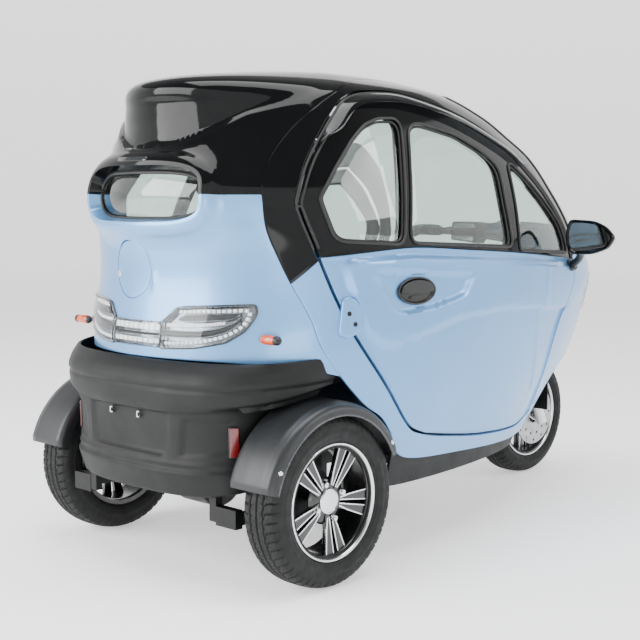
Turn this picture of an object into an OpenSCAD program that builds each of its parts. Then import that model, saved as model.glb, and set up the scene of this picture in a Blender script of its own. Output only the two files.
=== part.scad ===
// Covered electric tricycle: one steered front wheel, two driven rear wheels and a closed two-seat cab.
// Sides are laid out from the rear axle (x) and the ground (z), then the whole is centred on its footprint.

/* [Overall] */
// Distance from the rear axle to the front axle
wheelbase = 1650; // [1600:10:1720]
// Distance between the middles of the rear tyres
rear_track = 960; // [930:5:1000]
// Greatest width of the body shell
body_w = 1132; // [1100:2:1160]
// Height of the roof over the ground
roof_h = 1490; // [1460:5:1540]

/* [Wheels] */
// Outer radius of a rear tyre
rear_tyre_r = 247; // [235:1:252]
// Width of a rear tyre
rear_tyre_w = 135; // [120:1:140]
// Outer radius of the front tyre
front_tyre_r = 236; // [225:1:242]
// Width of the front tyre
front_tyre_w = 120; // [105:1:125]
// Radius of the rim flanges
rim_r = 168; // [160:1:172]
// Radius of the hub of each wheel
hub_r = 42; // [36:1:50]
// Radius of the rear axle stubs
rear_stub_r = 14; // [10:1:18]
// Radius of the front axle
front_stub_r = 10; // [8:1:12]
// Radius of the brake drums
drum_r = 95; // [80:1:110]
// Radius of the front brake disc
disc_r = 118; // [100:1:130]
// Running clearance of the axles, on the radius
bore_play = 0.05; // [0.02:0.01:0.09]

/* [Steering] */
// Lean of the steering axis from upright, in degrees
rake = 25; // [22:0.5:28]
// Sideways distance from the centre to a fork leg
fork_half = 100; // [96:1:108]
// Radius of a fork leg
fork_leg_r = 21; // [17:1:23]
// Radius of the steerer tube
steerer_r = 17; // [14:0.5:20]
// Length of the head tube
head_l = 160; // [130:5:180]
// Half the width of the handlebar
bar_half = 300; // [260:5:320]

/* [Panels] */
// Thickness of the fixed body panels
panel_t = 12; // [8:1:18]
// Thickness of a whole door
door_t = 42; // [34:1:48]
// Thickness of the panes
glass_t = 4; // [3:0.5:6]
// Gap round a door
door_gap = 7.5; // [5:0.5:9]
// Gap ahead of a door, wider because its front edge turns outward there
nose_gap = 11; // [10:0.5:14]
// Depth of the rear window's tunnel
tunnel_d = 46; // [36:1:56]
// Height of the rear window's opening
window_h = 146; // [120:2:160]
// Width of the rear window's opening
window_w = 480; // [440:5:500]
// Thickness of a mudguard
guard_t = 4; // [3:0.5:6]
// Radius of the rear mudguards
guard_r = 285; // [278:1:292]
// Radius of the charging lid
lid_r = 84; // [70:1:90]

/* [Frame and cab] */
// Width of a frame rail
rail_w = 40; // [30:1:50]
// Height of a frame rail
rail_h = 50; // [40:1:60]
// Sideways distance from the centre to a rail
rail_half = 210; // [190:5:230]
// Radius of the rear axle tube
axle_tube_r = 32; // [26:1:38]
// Height of the floor over the ground
floor_z = 318; // [312:1:330]
// Width of the front seat
front_seat_w = 400; // [360:10:440]
// Width of the rear seat
rear_seat_w = 720; // [660:10:740]
// Thickness of the seat cushions
cushion_t = 95; // [80:1:110]
// Distance between the two number plate holes
plate_spacing = 125; // [110:1:140]
// Radius of a number plate hole
plate_hole_r = 4; // [3:0.25:5]

/* [Hidden] */
$fn = 48;

sky_blue = [0.62, 0.76, 0.88];
gloss_black = [0.05, 0.05, 0.06];
grain_grey = [0.20, 0.21, 0.21];
seat_red = [0.45, 0.06, 0.08];
steel_grey = [0.25, 0.25, 0.26];
silver = [0.78, 0.78, 0.80];
clear_glass = [0.75, 0.86, 0.84, 0.45];

// Small gap between pieces that rest against each other
seat_gap = 0.3;
// Rearmost reach of the bumper behind the rear axle
tail_reach = 334;
centre_x = (wheelbase + front_tyre_r - tail_reach) / 2;
// Height of the waist, above which heights follow the roof
waist_z = 940;
// Where the sections change from their tail half to their nose half
mid_x = 300;

// Columns: height, tail end from the rear axle, nose end from the front axle, tuck-in of the half width,
// fullness of the tail, fullness of the nose
LEVELS = [
  [250, -262, -130, 61, 2.1, 1.9],
  [420, -268, 50, 26, 2.1, 1.9],
  [550, -272, 150, 8, 2.1, 1.95],
  [700, -272, 160, 0, 2.1, 2.2],
  [840, -245, 110, 4, 2.1, 2.6],
  [940, -248, 50, 16, 2.1, 2.6],
  [1030, -270, -20, 34, 2.1, 2.6],
  [1120, -285, -110, 58, 2.1, 2.6],
  [1230, -235, -230, 94, 2.1, 2.6],
  [1300, -205, -350, 120, 2.1, 2.5],
  [1360, -200, -480, 148, 2.1, 2.5],
  [1420, -200, -680, 191, 2.1, 2.5],
  [1450, -120, -800, 256, 2.1, 2.4],
  [1475, 100, -930, 356, 2.1, 2.2],
  [1488, 280, -1150, 506, 2.0, 2.0]];
top_z = 1488;
// Rise of the crown over the topmost section
crown_rise = 2;
lift = (roof_h - waist_z) / (top_z + crown_rise - waist_z);

function row_at(z, i = 0) = (i >= len(LEVELS) - 2 || LEVELS[i + 1][0] > z) ? i : row_at(z, i + 1);
function slope(i, c) =
  let (a = max(i - 1, 0), b = min(i + 1, len(LEVELS) - 1))
  (LEVELS[b][c] - LEVELS[a][c]) / (LEVELS[b][0] - LEVELS[a][0]);
function blend(z, i, c) =
  let (z0 = LEVELS[i][0], h = LEVELS[i + 1][0] - z0, t = (z - z0) / h)
  (1 + 2 * t) * (1 - t) * (1 - t) * LEVELS[i][c] + t * (1 - t) * (1 - t) * h * slope(i, c)
  + t * t * (3 - 2 * t) * LEVELS[i + 1][c] + t * t * (t - 1) * h * slope(i + 1, c);
// The drawn height of a real one, and back
function drawn_z(z) = z <= waist_z ? z : waist_z + (z - waist_z) / lift;
function real_z(z) = z <= waist_z ? z : waist_z + (z - waist_z) * lift;
function section(z) =
  let (d = min(max(z, LEVELS[0][0]), top_z), i = row_at(d))
  [for (c = [1:5]) blend(d, i, c)];
// Below zero inside the body's skin, above zero outside
function outside(p) =
  let (z = drawn_z(p[2]), s = section(z), nose = p[0] > mid_x,
    l = nose ? wheelbase + s[1] - mid_x : mid_x - s[0], n = nose ? s[4] : s[3])
  pow(abs(p[0] - mid_x) / l, n) + pow(abs(p[1]) / (body_w / 2 - s[2]), n) - 1 + max(0, z - top_z) / crown_rise;
function cast(o, d, a, b, k) =
  k == 0 ? o + d * a
  : let (m = (a + b) / 2)
    outside(o + d * m) < 0 ? cast(o, d, m, b, k - 1) : cast(o, d, a, m, k - 1);
function unit(v) = v / norm(v);
function inward(p) =
  let (e = 2)
  -unit([for (k = [0:2]) let (s = [for (j = [0:2]) j == k ? e : 0]) outside(p + s) - outside(p - s)]);
function sunk(p, d) = p + inward(p) * d;
// Points of the skin: beside a place in side view, round the body at a height, and near a given point
function side(x, z) = cast([x, 0, real_z(z)], [0, -1, 0], 0, 700, 18);
function round_at(a, z) = cast([mid_x, 0, real_z(z)], [cos(a), sin(a), 0], 0, 1700, 19);
function snap(p) =
  let (o = [min(max(p[0], 100), 900), 0, min(p[2], 1000)])
  cast(o, unit(p - o), 0, 1400, 18);
// The angle round the body of a place in side view, with its height
function bearing(q) =
  let (p = side(q[0], q[1]))
  [atan2(p[1], p[0] - mid_x), q[1]];

function bend(p, t) =
  let (n = len(p) - 1, i = min(floor(t), n - 1), f = t - i, a = p[max(i - 1, 0)], b = p[i], c = p[i + 1],
    d = p[min(i + 2, n)])
  0.5 * (2 * b + (c - a) * f + (2 * a - 5 * b + 4 * c - d) * f * f + (3 * b - a - 3 * c + d) * f * f * f);
function curve(p, n) = [for (i = [0:n]) bend(p, i * (len(p) - 1) / n)];
function backward(p) = [for (i = [len(p) - 1:-1:0]) p[i]];
function mirrored(p) = [for (i = [len(p) - 1:-1:0]) [-p[i][0], p[i][1]]];
function shifted(p, d) = [for (q = p) q + d];
// A grid between four edges that share their corners
function patch(b, t, l, r) =
  let (n = len(b) - 1, m = len(l) - 1)
  [for (j = [0:m]) [for (i = [0:n]) let (u = i / n, v = j / m)
    (1 - v) * b[i] + v * t[i] + (1 - u) * l[j] + u * r[j]
    - ((1 - u) * (1 - v) * b[0] + u * (1 - v) * b[n] + (1 - u) * v * t[0] + u * v * t[n])]];
function between(a, b, m) = [for (j = [0:m]) a * (1 - j / m) + b * (j / m)];
function two(a, b, c, d) = [[a, b, c], [a, c, d]];

// A closed sheet between an outer and an inner grid of points
module sheet(outer, inner) {
  rows = len(outer);
  cols = len(outer[0]);
  n = rows * cols;
  faces = concat(
    [for (i = [0:rows - 2], j = [0:cols - 2]) let (k = i * cols + j) each two(k, k + 1, k + cols + 1, k + cols)],
    [for (i = [0:rows - 2], j = [0:cols - 2]) let (k = n + i * cols + j)
      each two(k + cols, k + cols + 1, k + 1, k)],
    [for (j = [0:cols - 2]) each two(j + 1, j, n + j, n + j + 1)],
    [for (j = [0:cols - 2]) let (k = (rows - 1) * cols + j) each two(k, k + 1, n + k + 1, n + k)],
    [for (i = [0:rows - 2]) let (k = i * cols) each two(k, k + cols, n + k + cols, n + k)],
    [for (i = [0:rows - 2]) let (k = i * cols + cols - 1) each two(k + cols, k, n + k, n + k + cols)]);
  polyhedron(concat([for (r = outer) each r], [for (r = inner) each r]), faces);
}
module skin_sheet(skin, from, to) {
  sheet([for (r = skin) [for (p = r) sunk(p, from)]], [for (r = skin) [for (p = r) sunk(p, to)]]);
}
function side_grid(grid) = [for (r = grid) [for (q = r) side(q[0], q[1])]];
function round_grid(grid) = [for (r = grid) [for (q = r) round_at(q[0], q[1])]];
// A cut through one side of the body along a side-view outline
module side_cut(outline) {
  rotate([90, 0, 0])
    linear_extrude(800)
      polygon([for (q = outline) [q[0], real_z(q[1])]]);
}
module on_left() {
  mirror([0, 1, 0])
    children();
}
module placed() {
  translate([-centre_x, 0, 0])
    children();
}
// A round bar between two points
module bar(p, q, r) {
  d = q - p;
  translate(p)
    rotate([0, acos(d[2] / norm(d)), atan2(d[1], d[0])])
      cylinder(h = norm(d), r = r);
}
module block(low, high) {
  translate(low)
    cube(high - low);
}
// A pad with rounded long edges, lying across the cab
module pad(low, high, r) {
  w = high[1] - low[1];
  translate([low[0], high[1], low[2]])
    rotate([90, 0, 0])
      linear_extrude(w)
        translate([r, r])
          offset(r = r, $fn = 24)
            square([high[0] - low[0] - 2 * r, high[2] - low[2] - 2 * r]);
}

// Outlines in side view, each a list of [x, z]
belt = [[9, 930], [310, 951], [600, 936], [900, 916], [1150, 894], [1290, 880]];
door_back = [[9, 930], [46, 815], [98, 705], [200, 568], [315, 432], [406, 389]];
door_foot = [[406, 389], [580, 360], [764, 336], [1030, 319], [1154, 355]];
door_nose = [[1154, 355], [1182, 467], [1212, 639], [1255, 725], [1288, 800], [1290, 880]];
frame_back = [[9, 930], [-28, 1049], [-30, 1102], [30, 1211], [145, 1340]];
frame_top = [[145, 1340], [225, 1386], [360, 1402], [490, 1396], [730, 1348], [970, 1262], [1070, 1195]];
frame_nose = [[1290, 880], [1275, 990], [1180, 1110], [1070, 1195]];
PANES = [
  [[22, 1096], [90, 1180], [168, 1261], [225, 1303], [290, 1325], [372, 1329], [388, 1310], [290, 975], [270, 964],
    [70, 975], [50, 988]],
  [[418, 1290], [440, 1312], [480, 1320], [655, 1291], [780, 1243], [850, 1203], [862, 1180], [846, 1070],
    [843, 938], [330, 964], [322, 985]],
  [[940, 1200], [968, 1207], [1070, 1145], [1150, 1085], [1231, 1010], [1250, 960], [1252, 905], [890, 925]]];
// The fixed panels stand off the door by its gap
opening_back = shifted(door_back, [-door_gap, -door_gap / 2]);
opening_foot = shifted(door_foot, [0, -door_gap]);
opening_nose = shifted(door_nose, [nose_gap, 0]);
cowl_corner = [1296 + nose_gap, 891];
// The lower side runs down the rear quarter, round the mudguard and forward over the sill
guard_edge = [for (a = [64, 48, 33, 22]) [(guard_r + 7) * cos(a), rear_tyre_r + (guard_r + 7) * sin(a)]];
quarter_seam = [[-63, 858], [-26, 760], [-2, 680], [52, 594]];
sill_line = [[355, 317], [623, 296], [1000, 271], [1149, 281]];
quarter_black = [[-63, 858], [-88, 935], [-112, 1016], [-118, 1105]];
roof_seam = [[-118, 1105], [-88, 1189], [-7, 1285], [100, 1365], [246, 1432], [420, 1458], [620, 1450], [790, 1415]];
pillar_edge = [[790, 1415], [860, 1392], [1000, 1332], [1130, 1258], [1220, 1182], [1290, 1080], [1338, 985],
  [1365, 905]];
arch_edge = [[1160, 286], [1225, 370], [1310, 445], [1430, 500], [1580, 525], [1700, 532]];

// The quarter panel behind the door, with the band that runs forward under it
module side_lower() {
  n = 26;
  outer = curve(concat(quarter_seam, guard_edge, sill_line), n);
  inner = curve(concat([[3, 921]], [for (i = [1:5]) opening_back[i]], [for (i = [1:3]) opening_foot[i]],
    [[1152, 344]]), n);
  color(sky_blue)
    placed()
      skin_sheet(side_grid(between(outer, inner, 2)), 0, panel_t);
}
// The black quarter, the rail over the door and the screen pillar
module side_upper() {
  n = 30;
  outer = curve(concat([quarter_black[0] + [0, 1.2]], [for (i = [1:3]) quarter_black[i]],
    [for (i = [1:7]) roof_seam[i]], [for (i = [1:7]) pillar_edge[i]]), n);
  head = shifted(frame_top, [0, door_gap + 8]);
  nose = shifted(frame_nose, [door_gap + 8, door_gap + 2]);
  inner = curve(concat([[2, 922.4], [-37, 1049], [-39, 1104], [22, 1218], [137, 1350]], [for (i = [1:5]) head[i]],
    [[1080, 1205], nose[2], nose[1], cowl_corner + [-4, 2]]), n);
  color(gloss_black)
    placed()
      skin_sheet(side_grid(between(inner, outer, 2)), 0, panel_t);
}
// Half the gap between the roof and the rear shell
tail_seam = 0.7;
// Half of the rear window's rim, as bearing and height, from left to right
function window_rim(grow, up) =
  let (w = window_w / 2 + grow, h = window_h / 2 + grow, x0 = -285, m = 10)
  [for (i = [0:m]) let (a = 180 * i / m, y = w * sign(cos(a)) * pow(abs(cos(a)), 0.55),
    z = h * pow(sin(a), 0.6))
    [180 - atan2(y, mid_x - x0), 1105 + (up ? z + tail_seam : -z - tail_seam)]];

module roof_shell() {
  rim_a = window_rim(0, true);
  rim_b = window_rim(26, true);
  rim_c = window_rim(60, true);
  seam = bearing([-120, 1105]);
  right = [360 + seam[0], 1105 + tail_seam];
  left = [-seam[0], 1105 + tail_seam];
  // Rows across the roof: seam place in side view, height of the row over the centre at the tail
  rear_rows = [[-111, 1140, 1225], [-91, 1191, 1262], [-53, 1243, 1310], [-10, 1289, 1370], [38, 1327, 1412]];
  c = len(rim_a) + 3;
  tail = [for (r = rear_rows) let (e = bearing([r[0], r[1]]), a = 360 + e[0])
    [for (i = [0:c]) let (s = 2 * i / c - 1, z = r[2] + (r[1] - r[2]) * pow(abs(s), 1.8))
      round_at(180 + (a - 180) * s, z)]];
  window_rows = [for (r = [[rim_a, 0], [rim_b, 0.25], [rim_c, 0.6]])
    [for (q = concat([left, left * 0.5 + r[0][0] * 0.5], r[0], [right * 0.5 + r[0][len(r[0]) - 1] * 0.5, right]))
      round_at(q[0], q[1])]];
  // Ribs over the top: seam place in side view, then the centre's distance from the rear axle
  top_rows = [[99, 1369, -60], [170, 1406, 60], [246, 1437, 190], [360, 1458, 330], [480, 1463, 480],
    [620, 1455, 640], [710, 1441, 770], [791, 1418, 880]];
  top = [for (r = top_rows) let (e = side(r[0], r[1]))
    [for (i = [0:c]) let (s = 2 * i / c - 1)
      snap([r[2] + (e[0] - r[2]) * s * s, e[1] * s, real_z(1200) + (e[2] - real_z(1200)) * (2 - s * s)])]];
  skin = concat(window_rows, tail, top);
  proud = concat([26, 22, 4], [for (i = [1:len(tail) + len(top)]) 0]);
  deep = concat([tunnel_d, panel_t + 8], [for (i = [1:len(skin) - 2]) panel_t]);
  last = c;
  color(gloss_black)
    placed()
      sheet(
        [for (j = [0:len(skin) - 1]) [for (i = [0:c]) sunk(skin[j][i], (i < 2 || i > last - 2) ? 0 : -proud[j])]],
        [for (j = [0:len(skin) - 1]) [for (i = [0:c]) sunk(skin[j][i], (i < 2 || i > last - 2) ? panel_t : deep[j])]]);
}
// The rear shell stops this many degrees short of the side panels
shell_turn = 0.3;
module rear_shell() {
  seam = [for (q = curve(concat([[-118, 1105 - tail_seam]], backward([for (i = [0:2]) quarter_black[i]]),
    [for (i = [1:3]) quarter_seam[i]]), 9)) let (b = bearing(q)) [360 + b[0] - shell_turn, q[1]]];
  foot_z = 640;
  left = [for (q = seam) [360 - q[0], q[1]]];
  corner = seam[len(seam) - 1];
  m = 10;
  foot = [for (i = [0:m]) let (s = 2 * i / m - 1) [180 + (corner[0] - 180) * s, foot_z - 46 * pow(abs(s), 4)]];
  outer = concat(left, [for (i = [1:m - 1]) foot[i]], backward(seam));
  n = len(outer) - 1;
  function rim(g) = curve(window_rim(g, false), n);
  far = rim(60);
  rows = concat([for (t = [0, 0.12, 0.25, 0.38, 0.52, 0.66, 0.8, 0.92]) outer * (1 - t) + far * t],
    [rim(26), rim(0)]);
  proud = [0, 0, 0, 0, 0, 0, 0, 3, 22, 26];
  deep = [for (j = [0:9]) j == 9 ? tunnel_d : j == 8 ? panel_t + 8 : panel_t];
  skin = round_grid(rows);
  color(sky_blue)
    placed()
      difference() {
        sheet([for (j = [0:9]) [for (p = skin[j]) sunk(p, -proud[j])]],
          [for (j = [0:9]) [for (p = skin[j]) sunk(p, deep[j])]]);
        tail_cut(lamp_outline, 0);
        lid_bore(lid_r + lid_seam);
      }
}
// The round place of the charging lid, at a sideways distance and a height
lid_at = [45, 888];
lid_t = 7;
lid_seam = 1.6;
module lid_bore(r) {
  translate([-400, lid_at[0], lid_at[1]])
    rotate([0, 90, 0])
      cylinder(h = 300, r = r);
}
module rear_window() {
  grow = 8;
  top = window_rim(grow, true);
  low = window_rim(grow, false);
  color(clear_glass)
    placed()
      skin_sheet(round_grid(between(low, top, 4)), tunnel_d + seat_gap, tunnel_d + glass_t + seat_gap);
}
// Tail lamps: two wings joined by a strip, as an outline in y and z
lamp_wing = [[-106, 745], [-125, 760], [-147, 783], [-180, 789], [-365, 800], [-369, 772], [-347, 727], [-304, 695],
  [-222, 677], [-106, 670]];
lamp_outline = concat(lamp_wing, [for (q = backward(lamp_wing)) [-q[0], q[1]]]);
// A cut from the rear along an outline in y and z, drawn in by a small gap
module tail_cut(outline, d) {
  rotate([90, 0, -90])
    linear_extrude(500)
      polygon([for (q = outline) [-q[0] + sign(q[0]) * d, q[1] + (q[1] > 735 ? -d : d)]]);
}
module rear_lamps() {
  grid = [for (z = [660, 690, 720, 750, 780, 805]) [for (i = [0:14]) round_at(136 + 88 * i / 14, z)]];
  color([0.9, 0.9, 0.92, 0.6])
    placed()
      intersection() {
        skin_sheet(grid, -10, panel_t - 4);
        tail_cut(lamp_outline, seat_gap);
      }
}
stalk_r = 6;
module turn_signals() {
  color([0.9, 0.45, 0.1])
    placed()
      for (m = [0, 1])
        mirror([0, m, 0]) {
          p = side(-118, 708);
          lens = p + [-26, 6, 0];
          bar(sunk(p, -stalk_r * sin(41) - seat_gap), lens + [0, -8, 0], stalk_r);
          translate(lens)
            rotate([90, 0, 0])
              cylinder(h = 78, r = 14);
        }
}
// Sideways distance of the rear tyres' inner faces
tyre_in = (rear_track - rear_tyre_w) / 2;
// Columns: height at the rear, height at the sides, reach behind the axle, half width
BUMPER = [
  [255, 290, 300, tyre_in - 34],
  [330, 335, 325, tyre_in - 24],
  [340, 345, 314, tyre_in - 28],
  [400, 410, 312, tyre_in - 27],
  [490, 500, 316, tyre_in - 24],
  [500, 548, 324, tyre_in - 17],
  [512, 556, 330, body_w / 2 - 74],
  [570, 585, 334, body_w / 2 - 66],
  [610, 612, 322, body_w / 2 - 69],
  [645, 600, 286, body_w / 2 - 73]];
bumper_end = 48;
bumper_cols = 20;
function bumper_point(r, i, m, d) =
  let (s = 2 * i / m - 1, a = 90 * s, t = pow(abs(s), 3), half = r[3] - d, l = r[2] - d + bumper_end,
    e = r[3] < 450 ? 0.45 : 0.8)
  [bumper_end - l * pow(abs(cos(a)), e), -half * sign(a) * pow(abs(sin(a)), 0.75), r[0] + (r[1] - r[0]) * t];
function bumper_grid(d) = [for (r = BUMPER) [for (i = [0:bumper_cols]) bumper_point(r, i, bumper_cols, d)]];
module rear_bumper() {
  color(grain_grey)
    placed()
      difference() {
        sheet(bumper_grid(0), bumper_grid(panel_t));
        for (s = [-1, 1])
          translate([-400, s * plate_spacing / 2, 480])
            rotate([0, 90, 0])
              cylinder(h = 300, r = plate_hole_r);
      }
}
// Upright reflectors on the bumper's lower corners, just off its surface
function bumper_beside(z, y, d) =
  let (half = tyre_in - 26, a = asin(pow(y / half, 1 / 0.75)), reach = 312 + max(z - 403, 0) * 4 / 90 - d + bumper_end)
  [bumper_end - reach * pow(cos(a), 0.45), -(half - d) * pow(sin(a), 0.75), z];
function reflector_grid(d) = [for (z = [388, 403, 472]) [for (y = [341, 352, 363]) bumper_beside(z, y, d)]];
module reflectors() {
  color([0.6, 0.05, 0.06])
    placed()
      for (m = [0, 1])
        mirror([0, m, 0])
          sheet(reflector_grid(-6), reflector_grid(-0.9));
}
module mudguard_rear() {
  inner_y = rear_track / 2 - rear_tyre_w / 2 - 18;
  outer_y = rear_track / 2 + rear_tyre_w / 2 + 16;
  lip = 26;
  color(grain_grey)
    placed()
      translate([0, 0, rear_tyre_r])
        rotate([90, -18, 0])
          rotate_extrude(angle = 158, $fn = 72)
            polygon([
              [guard_r - 45, inner_y], [guard_r - 14, inner_y], [guard_r - 4, inner_y + 5], [guard_r, inner_y + 14],
              [guard_r, outer_y - 34], [guard_r - 6, outer_y - 14], [guard_r - 16, outer_y - 3],
              [guard_r - 16 - lip + 4, outer_y],
              [guard_r - 16 - lip + 4, outer_y - guard_t], [guard_r - 18, outer_y - guard_t - 2],
              [guard_r - 6 - guard_t, outer_y - 18], [guard_r - guard_t, outer_y - 36],
              [guard_r - guard_t, inner_y + 15], [guard_r - guard_t - 3, inner_y + 8],
              [guard_r - 15, inner_y + guard_t], [guard_r - 45, inner_y + guard_t]]);
}
// The sills tuck in behind the lower edge of the side panels
sill_in = panel_t + 0.9;
module sills() {
  color(grain_grey)
    placed()
      for (m = [0, 1])
        mirror([0, m, 0]) {
          top = curve([[275, 352], [355, 330], [623, 309], [1000, 284], [1145, 290]], 12);
          low = curve([[275, 240], [355, 236], [623, 234], [1000, 232], [1095, 238]], 12);
          skin_sheet(side_grid(between(low, top, 2)), sill_in, sill_in + 10);
        }
}

module front_cowl() {
  n = 24;
  m = 10;
  foot_r = [for (q = concat(arch_edge, [[1760, 536]])) bearing(q)];
  top_r = [for (q = [cowl_corner, [1365, 905], [1460, 930], [1560, 955], [1630, 972]]) bearing(q)];
  edge = [for (q = curve(concat([[1160, 286]], [for (i = [0:5]) opening_nose[i]], [cowl_corner]), m)) bearing(q)];
  foot = curve(concat(foot_r, [[0, 538]], mirrored(foot_r)), n);
  top = curve(concat(top_r, [[0, 985]], mirrored(top_r)), n);
  color(sky_blue)
    placed()
      difference() {
        skin_sheet(round_grid(patch(foot, top, edge, [for (q = edge) [-q[0], q[1]]])), 0, panel_t);
        for (m = [0, 1])
          mirror([0, m, 0])
            nose_cut(headlamp_outline, 0);
      }
}
module windshield() {
  // Pillar place in side view, then the height over the centre
  rows = [[1368, 910, 991], [1341, 989, 1063], [1294, 1085, 1152], [1222, 1188, 1230], [1132, 1264, 1298],
    [1003, 1338, 1364], [864, 1396, 1416], [797, 1420, 1442]];
  n = 12;
  skin = [for (r = rows) let (e = bearing([r[0], r[1]])) [for (i = [0:n]) let (s = 2 * i / n - 1)
    round_at(-e[0] * s, r[2] + (r[1] - r[2]) * s * s)]];
  color(clear_glass)
    placed()
      skin_sheet(skin, 2, 2 + glass_t);
}
headlamp_outline = [[-320, 678], [-240, 655], [-200, 685], [-212, 745], [-262, 800], [-345, 820], [-350, 740]];
// A cut from the front along an outline in y and z, drawn in by a small gap
module nose_cut(outline, d) {
  translate([1200, 0, 0])
    rotate([90, 0, 90])
      linear_extrude(800)
        polygon(inset_outline(outline, d));
}
module headlamps() {
  grid = [for (z = [640, 680, 720, 760, 800, 835]) [for (i = [0:7]) round_at(-27 + 19 * i / 7, z)]];
  color([0.9, 0.92, 0.95, 0.7])
    placed()
      for (m = [0, 1])
        mirror([0, m, 0])
          intersection() {
            skin_sheet(grid, -5, panel_t - 4);
            nose_cut(headlamp_outline, 1);
          }
}

// The steering axis starts at the front axle and leans back as it rises
axle_front = [wheelbase, 0, front_tyre_r];
function on_axis(s) = axle_front + [-sin(rake), 0, cos(rake)] * s;
head_s = 400;
crown_s = 305;
crown_t = 24;
bar_s = 800;
module along_steering() {
  translate(axle_front)
    rotate([0, -rake, 0])
      children();
}
liner_z = front_tyre_r + 346;
liner_t = 4;
module wheel_arch_liner() {
  z = liner_z;
  wall_x = wheelbase - 318;
  edge = [for (x = [wall_x, 1400, 1480, 1560, 1630, 1690]) let (p = side(x, z)) sunk(p, panel_t + 3)];
  color(grain_grey)
    placed() {
      difference() {
        translate([0, 0, z])
          linear_extrude(liner_t)
            polygon(concat([for (p = edge) [p[0], p[1]]], [for (p = backward(edge)) [p[0], -p[1]]]));
        block([wall_x + 25, -90, z - 1], [wheelbase - 80, 90, z + liner_t + 1]);
      }
      difference() {
        block([wall_x, 220 - body_w / 2, floor_z + floor_t], [wall_x + liner_t, body_w / 2 - 220, z]);
        mast_holes(mast_at(0, wall_x + liner_t / 2), 50);
      }
    }
}
module dashboard() {
  low = 850;
  high = 905;
  back_x = wheelbase - 232;
  function plan(z, x0) = [for (x = [x0, x0 + 50, x0 + 100, x0 + 140]) let (p = side(x, z)) sunk(p, panel_t + 30)];
  color(gloss_black)
    placed() {
      translate([0, 0, low])
        linear_extrude(high - low)
          polygon(concat([for (p = plan(high, back_x)) [p[0], p[1]]],
            [for (p = backward(plan(high, back_x))) [p[0], -p[1]]]));
      for (s = [-1, 1])
        block([back_x + 20, s * 260 - 15, liner_z + liner_t + seat_gap], [back_x + 50, s * 260 + 15, low]);
    }
}

floor_t = 6;
rail_z = floor_z - rail_h - seat_gap;
tail_rail_z = 372;
tail_rail_h = 40;
tail_floor_z = tail_rail_z + tail_rail_h + seat_gap;
rail_back = 200;
rail_nose = 1270;
mast_r = 16;
spring_y = rear_track / 2 - rear_tyre_w / 2 - 62;
spring_x = 214;
spring_top = rear_tyre_r - axle_tube_r - seat_gap;
hanger_y = 280;
// Two tubes rise from the rails to the head tube
mast_foot = [rail_nose - 20, rail_half, rail_z + rail_h / 2];
mast_head = on_axis(head_s + 0.7 * head_l);
module mast_tubes() {
  for (m = [0, 1])
    mirror([0, m, 0])
      bar(mast_foot, mast_head, mast_r);
}
// The place of the left tube where one of its coordinates has a given value, and square holes round both
function mast_at(k, v) = mast_foot + (mast_head - mast_foot) * ((v - mast_foot[k]) / (mast_head[k] - mast_foot[k]));
module mast_holes(p, half) {
  for (s = [-1, 1])
    block([p[0] - half, s * p[1] - half, p[2] - half], [p[0] + half, s * p[1] + half, p[2] + half]);
}
// Stays rise from the tail rails and carry the rear mudguards
stay_back = 60;
stay_w = 30;
stay_z = 480;
stay_h = 20;
module mudguard_stay(grow) {
  block([stay_back - grow, rail_half - grow, stay_z - grow],
    [stay_back + stay_w + grow, stay_end, stay_z + stay_h + grow]);
  block([stay_back - grow, rail_half - 12 - grow, tail_rail_z + 30],
    [stay_back + stay_w + grow, rail_half + 12 + grow, stay_z + stay_h]);
}
module stay_holes() {
  for (m = [0, 1])
    mirror([0, m, 0])
      mudguard_stay(seat_gap);
}
stay_end = rear_track / 2 - rear_tyre_w / 2 - 18 - seat_gap;
// Half the width inside the sills at a distance from the rear axle
function sill_half(x) = -sunk(side(x, rail_z + 5), sill_in + 14)[1];
module chassis_frame() {
  color(steel_grey)
    placed()
      difference() {
        union() {
          for (m = [0, 1])
            mirror([0, m, 0]) {
              block([rail_back, rail_half - rail_w / 2, rail_z], [rail_nose, rail_half + rail_w / 2, rail_z + rail_h]);
              block([-250, rail_half - rail_w / 2, tail_rail_z],
                [rail_back + rail_w, rail_half + rail_w / 2, tail_rail_z + tail_rail_h]);
              block([rail_back, rail_half - rail_w / 2, rail_z],
                [rail_back + rail_w, rail_half + rail_w / 2, tail_rail_z + tail_rail_h]);
              // Outriggers carry the sills
              for (x = [420, 900])
                block([x - 15, rail_half, rail_z + 5], [x + 15, sill_half(x + 15), rail_z + 30]);
              mudguard_stay(0);
              // Hangers carry the ends of the springs
              for (x = [-spring_x, spring_x]) {
                block([x - 12, rail_half, tail_rail_z + 5], [x + 12, hanger_y + 14, tail_rail_z + 30]);
                block([x - 12, hanger_y - 14, spring_top - 26], [x + 12, hanger_y + 14, tail_rail_z + 10]);
              }
            }
          mast_tubes();
          for (x = [rail_back + 75, 640, 1000, rail_nose - 20])
            block([x - 15, -rail_half, rail_z + 5], [x + 15, rail_half, rail_z + 35]);
          for (x = [-235, 60])
            block([x - 15, -rail_half, tail_rail_z + 5], [x + 15, rail_half, tail_rail_z + 35]);
          // The bumper's bracket
          block([-298, -50, tail_rail_z + 8], [-240, 50, tail_rail_z + 32]);
          along_steering()
            translate([0, 0, head_s])
              cylinder(h = head_l, r = steerer_r + 7);
        }
        along_steering()
          translate([0, 0, head_s - 1])
            cylinder(h = head_l + 2, r = steerer_r + bore_play);
      }
}
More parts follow.
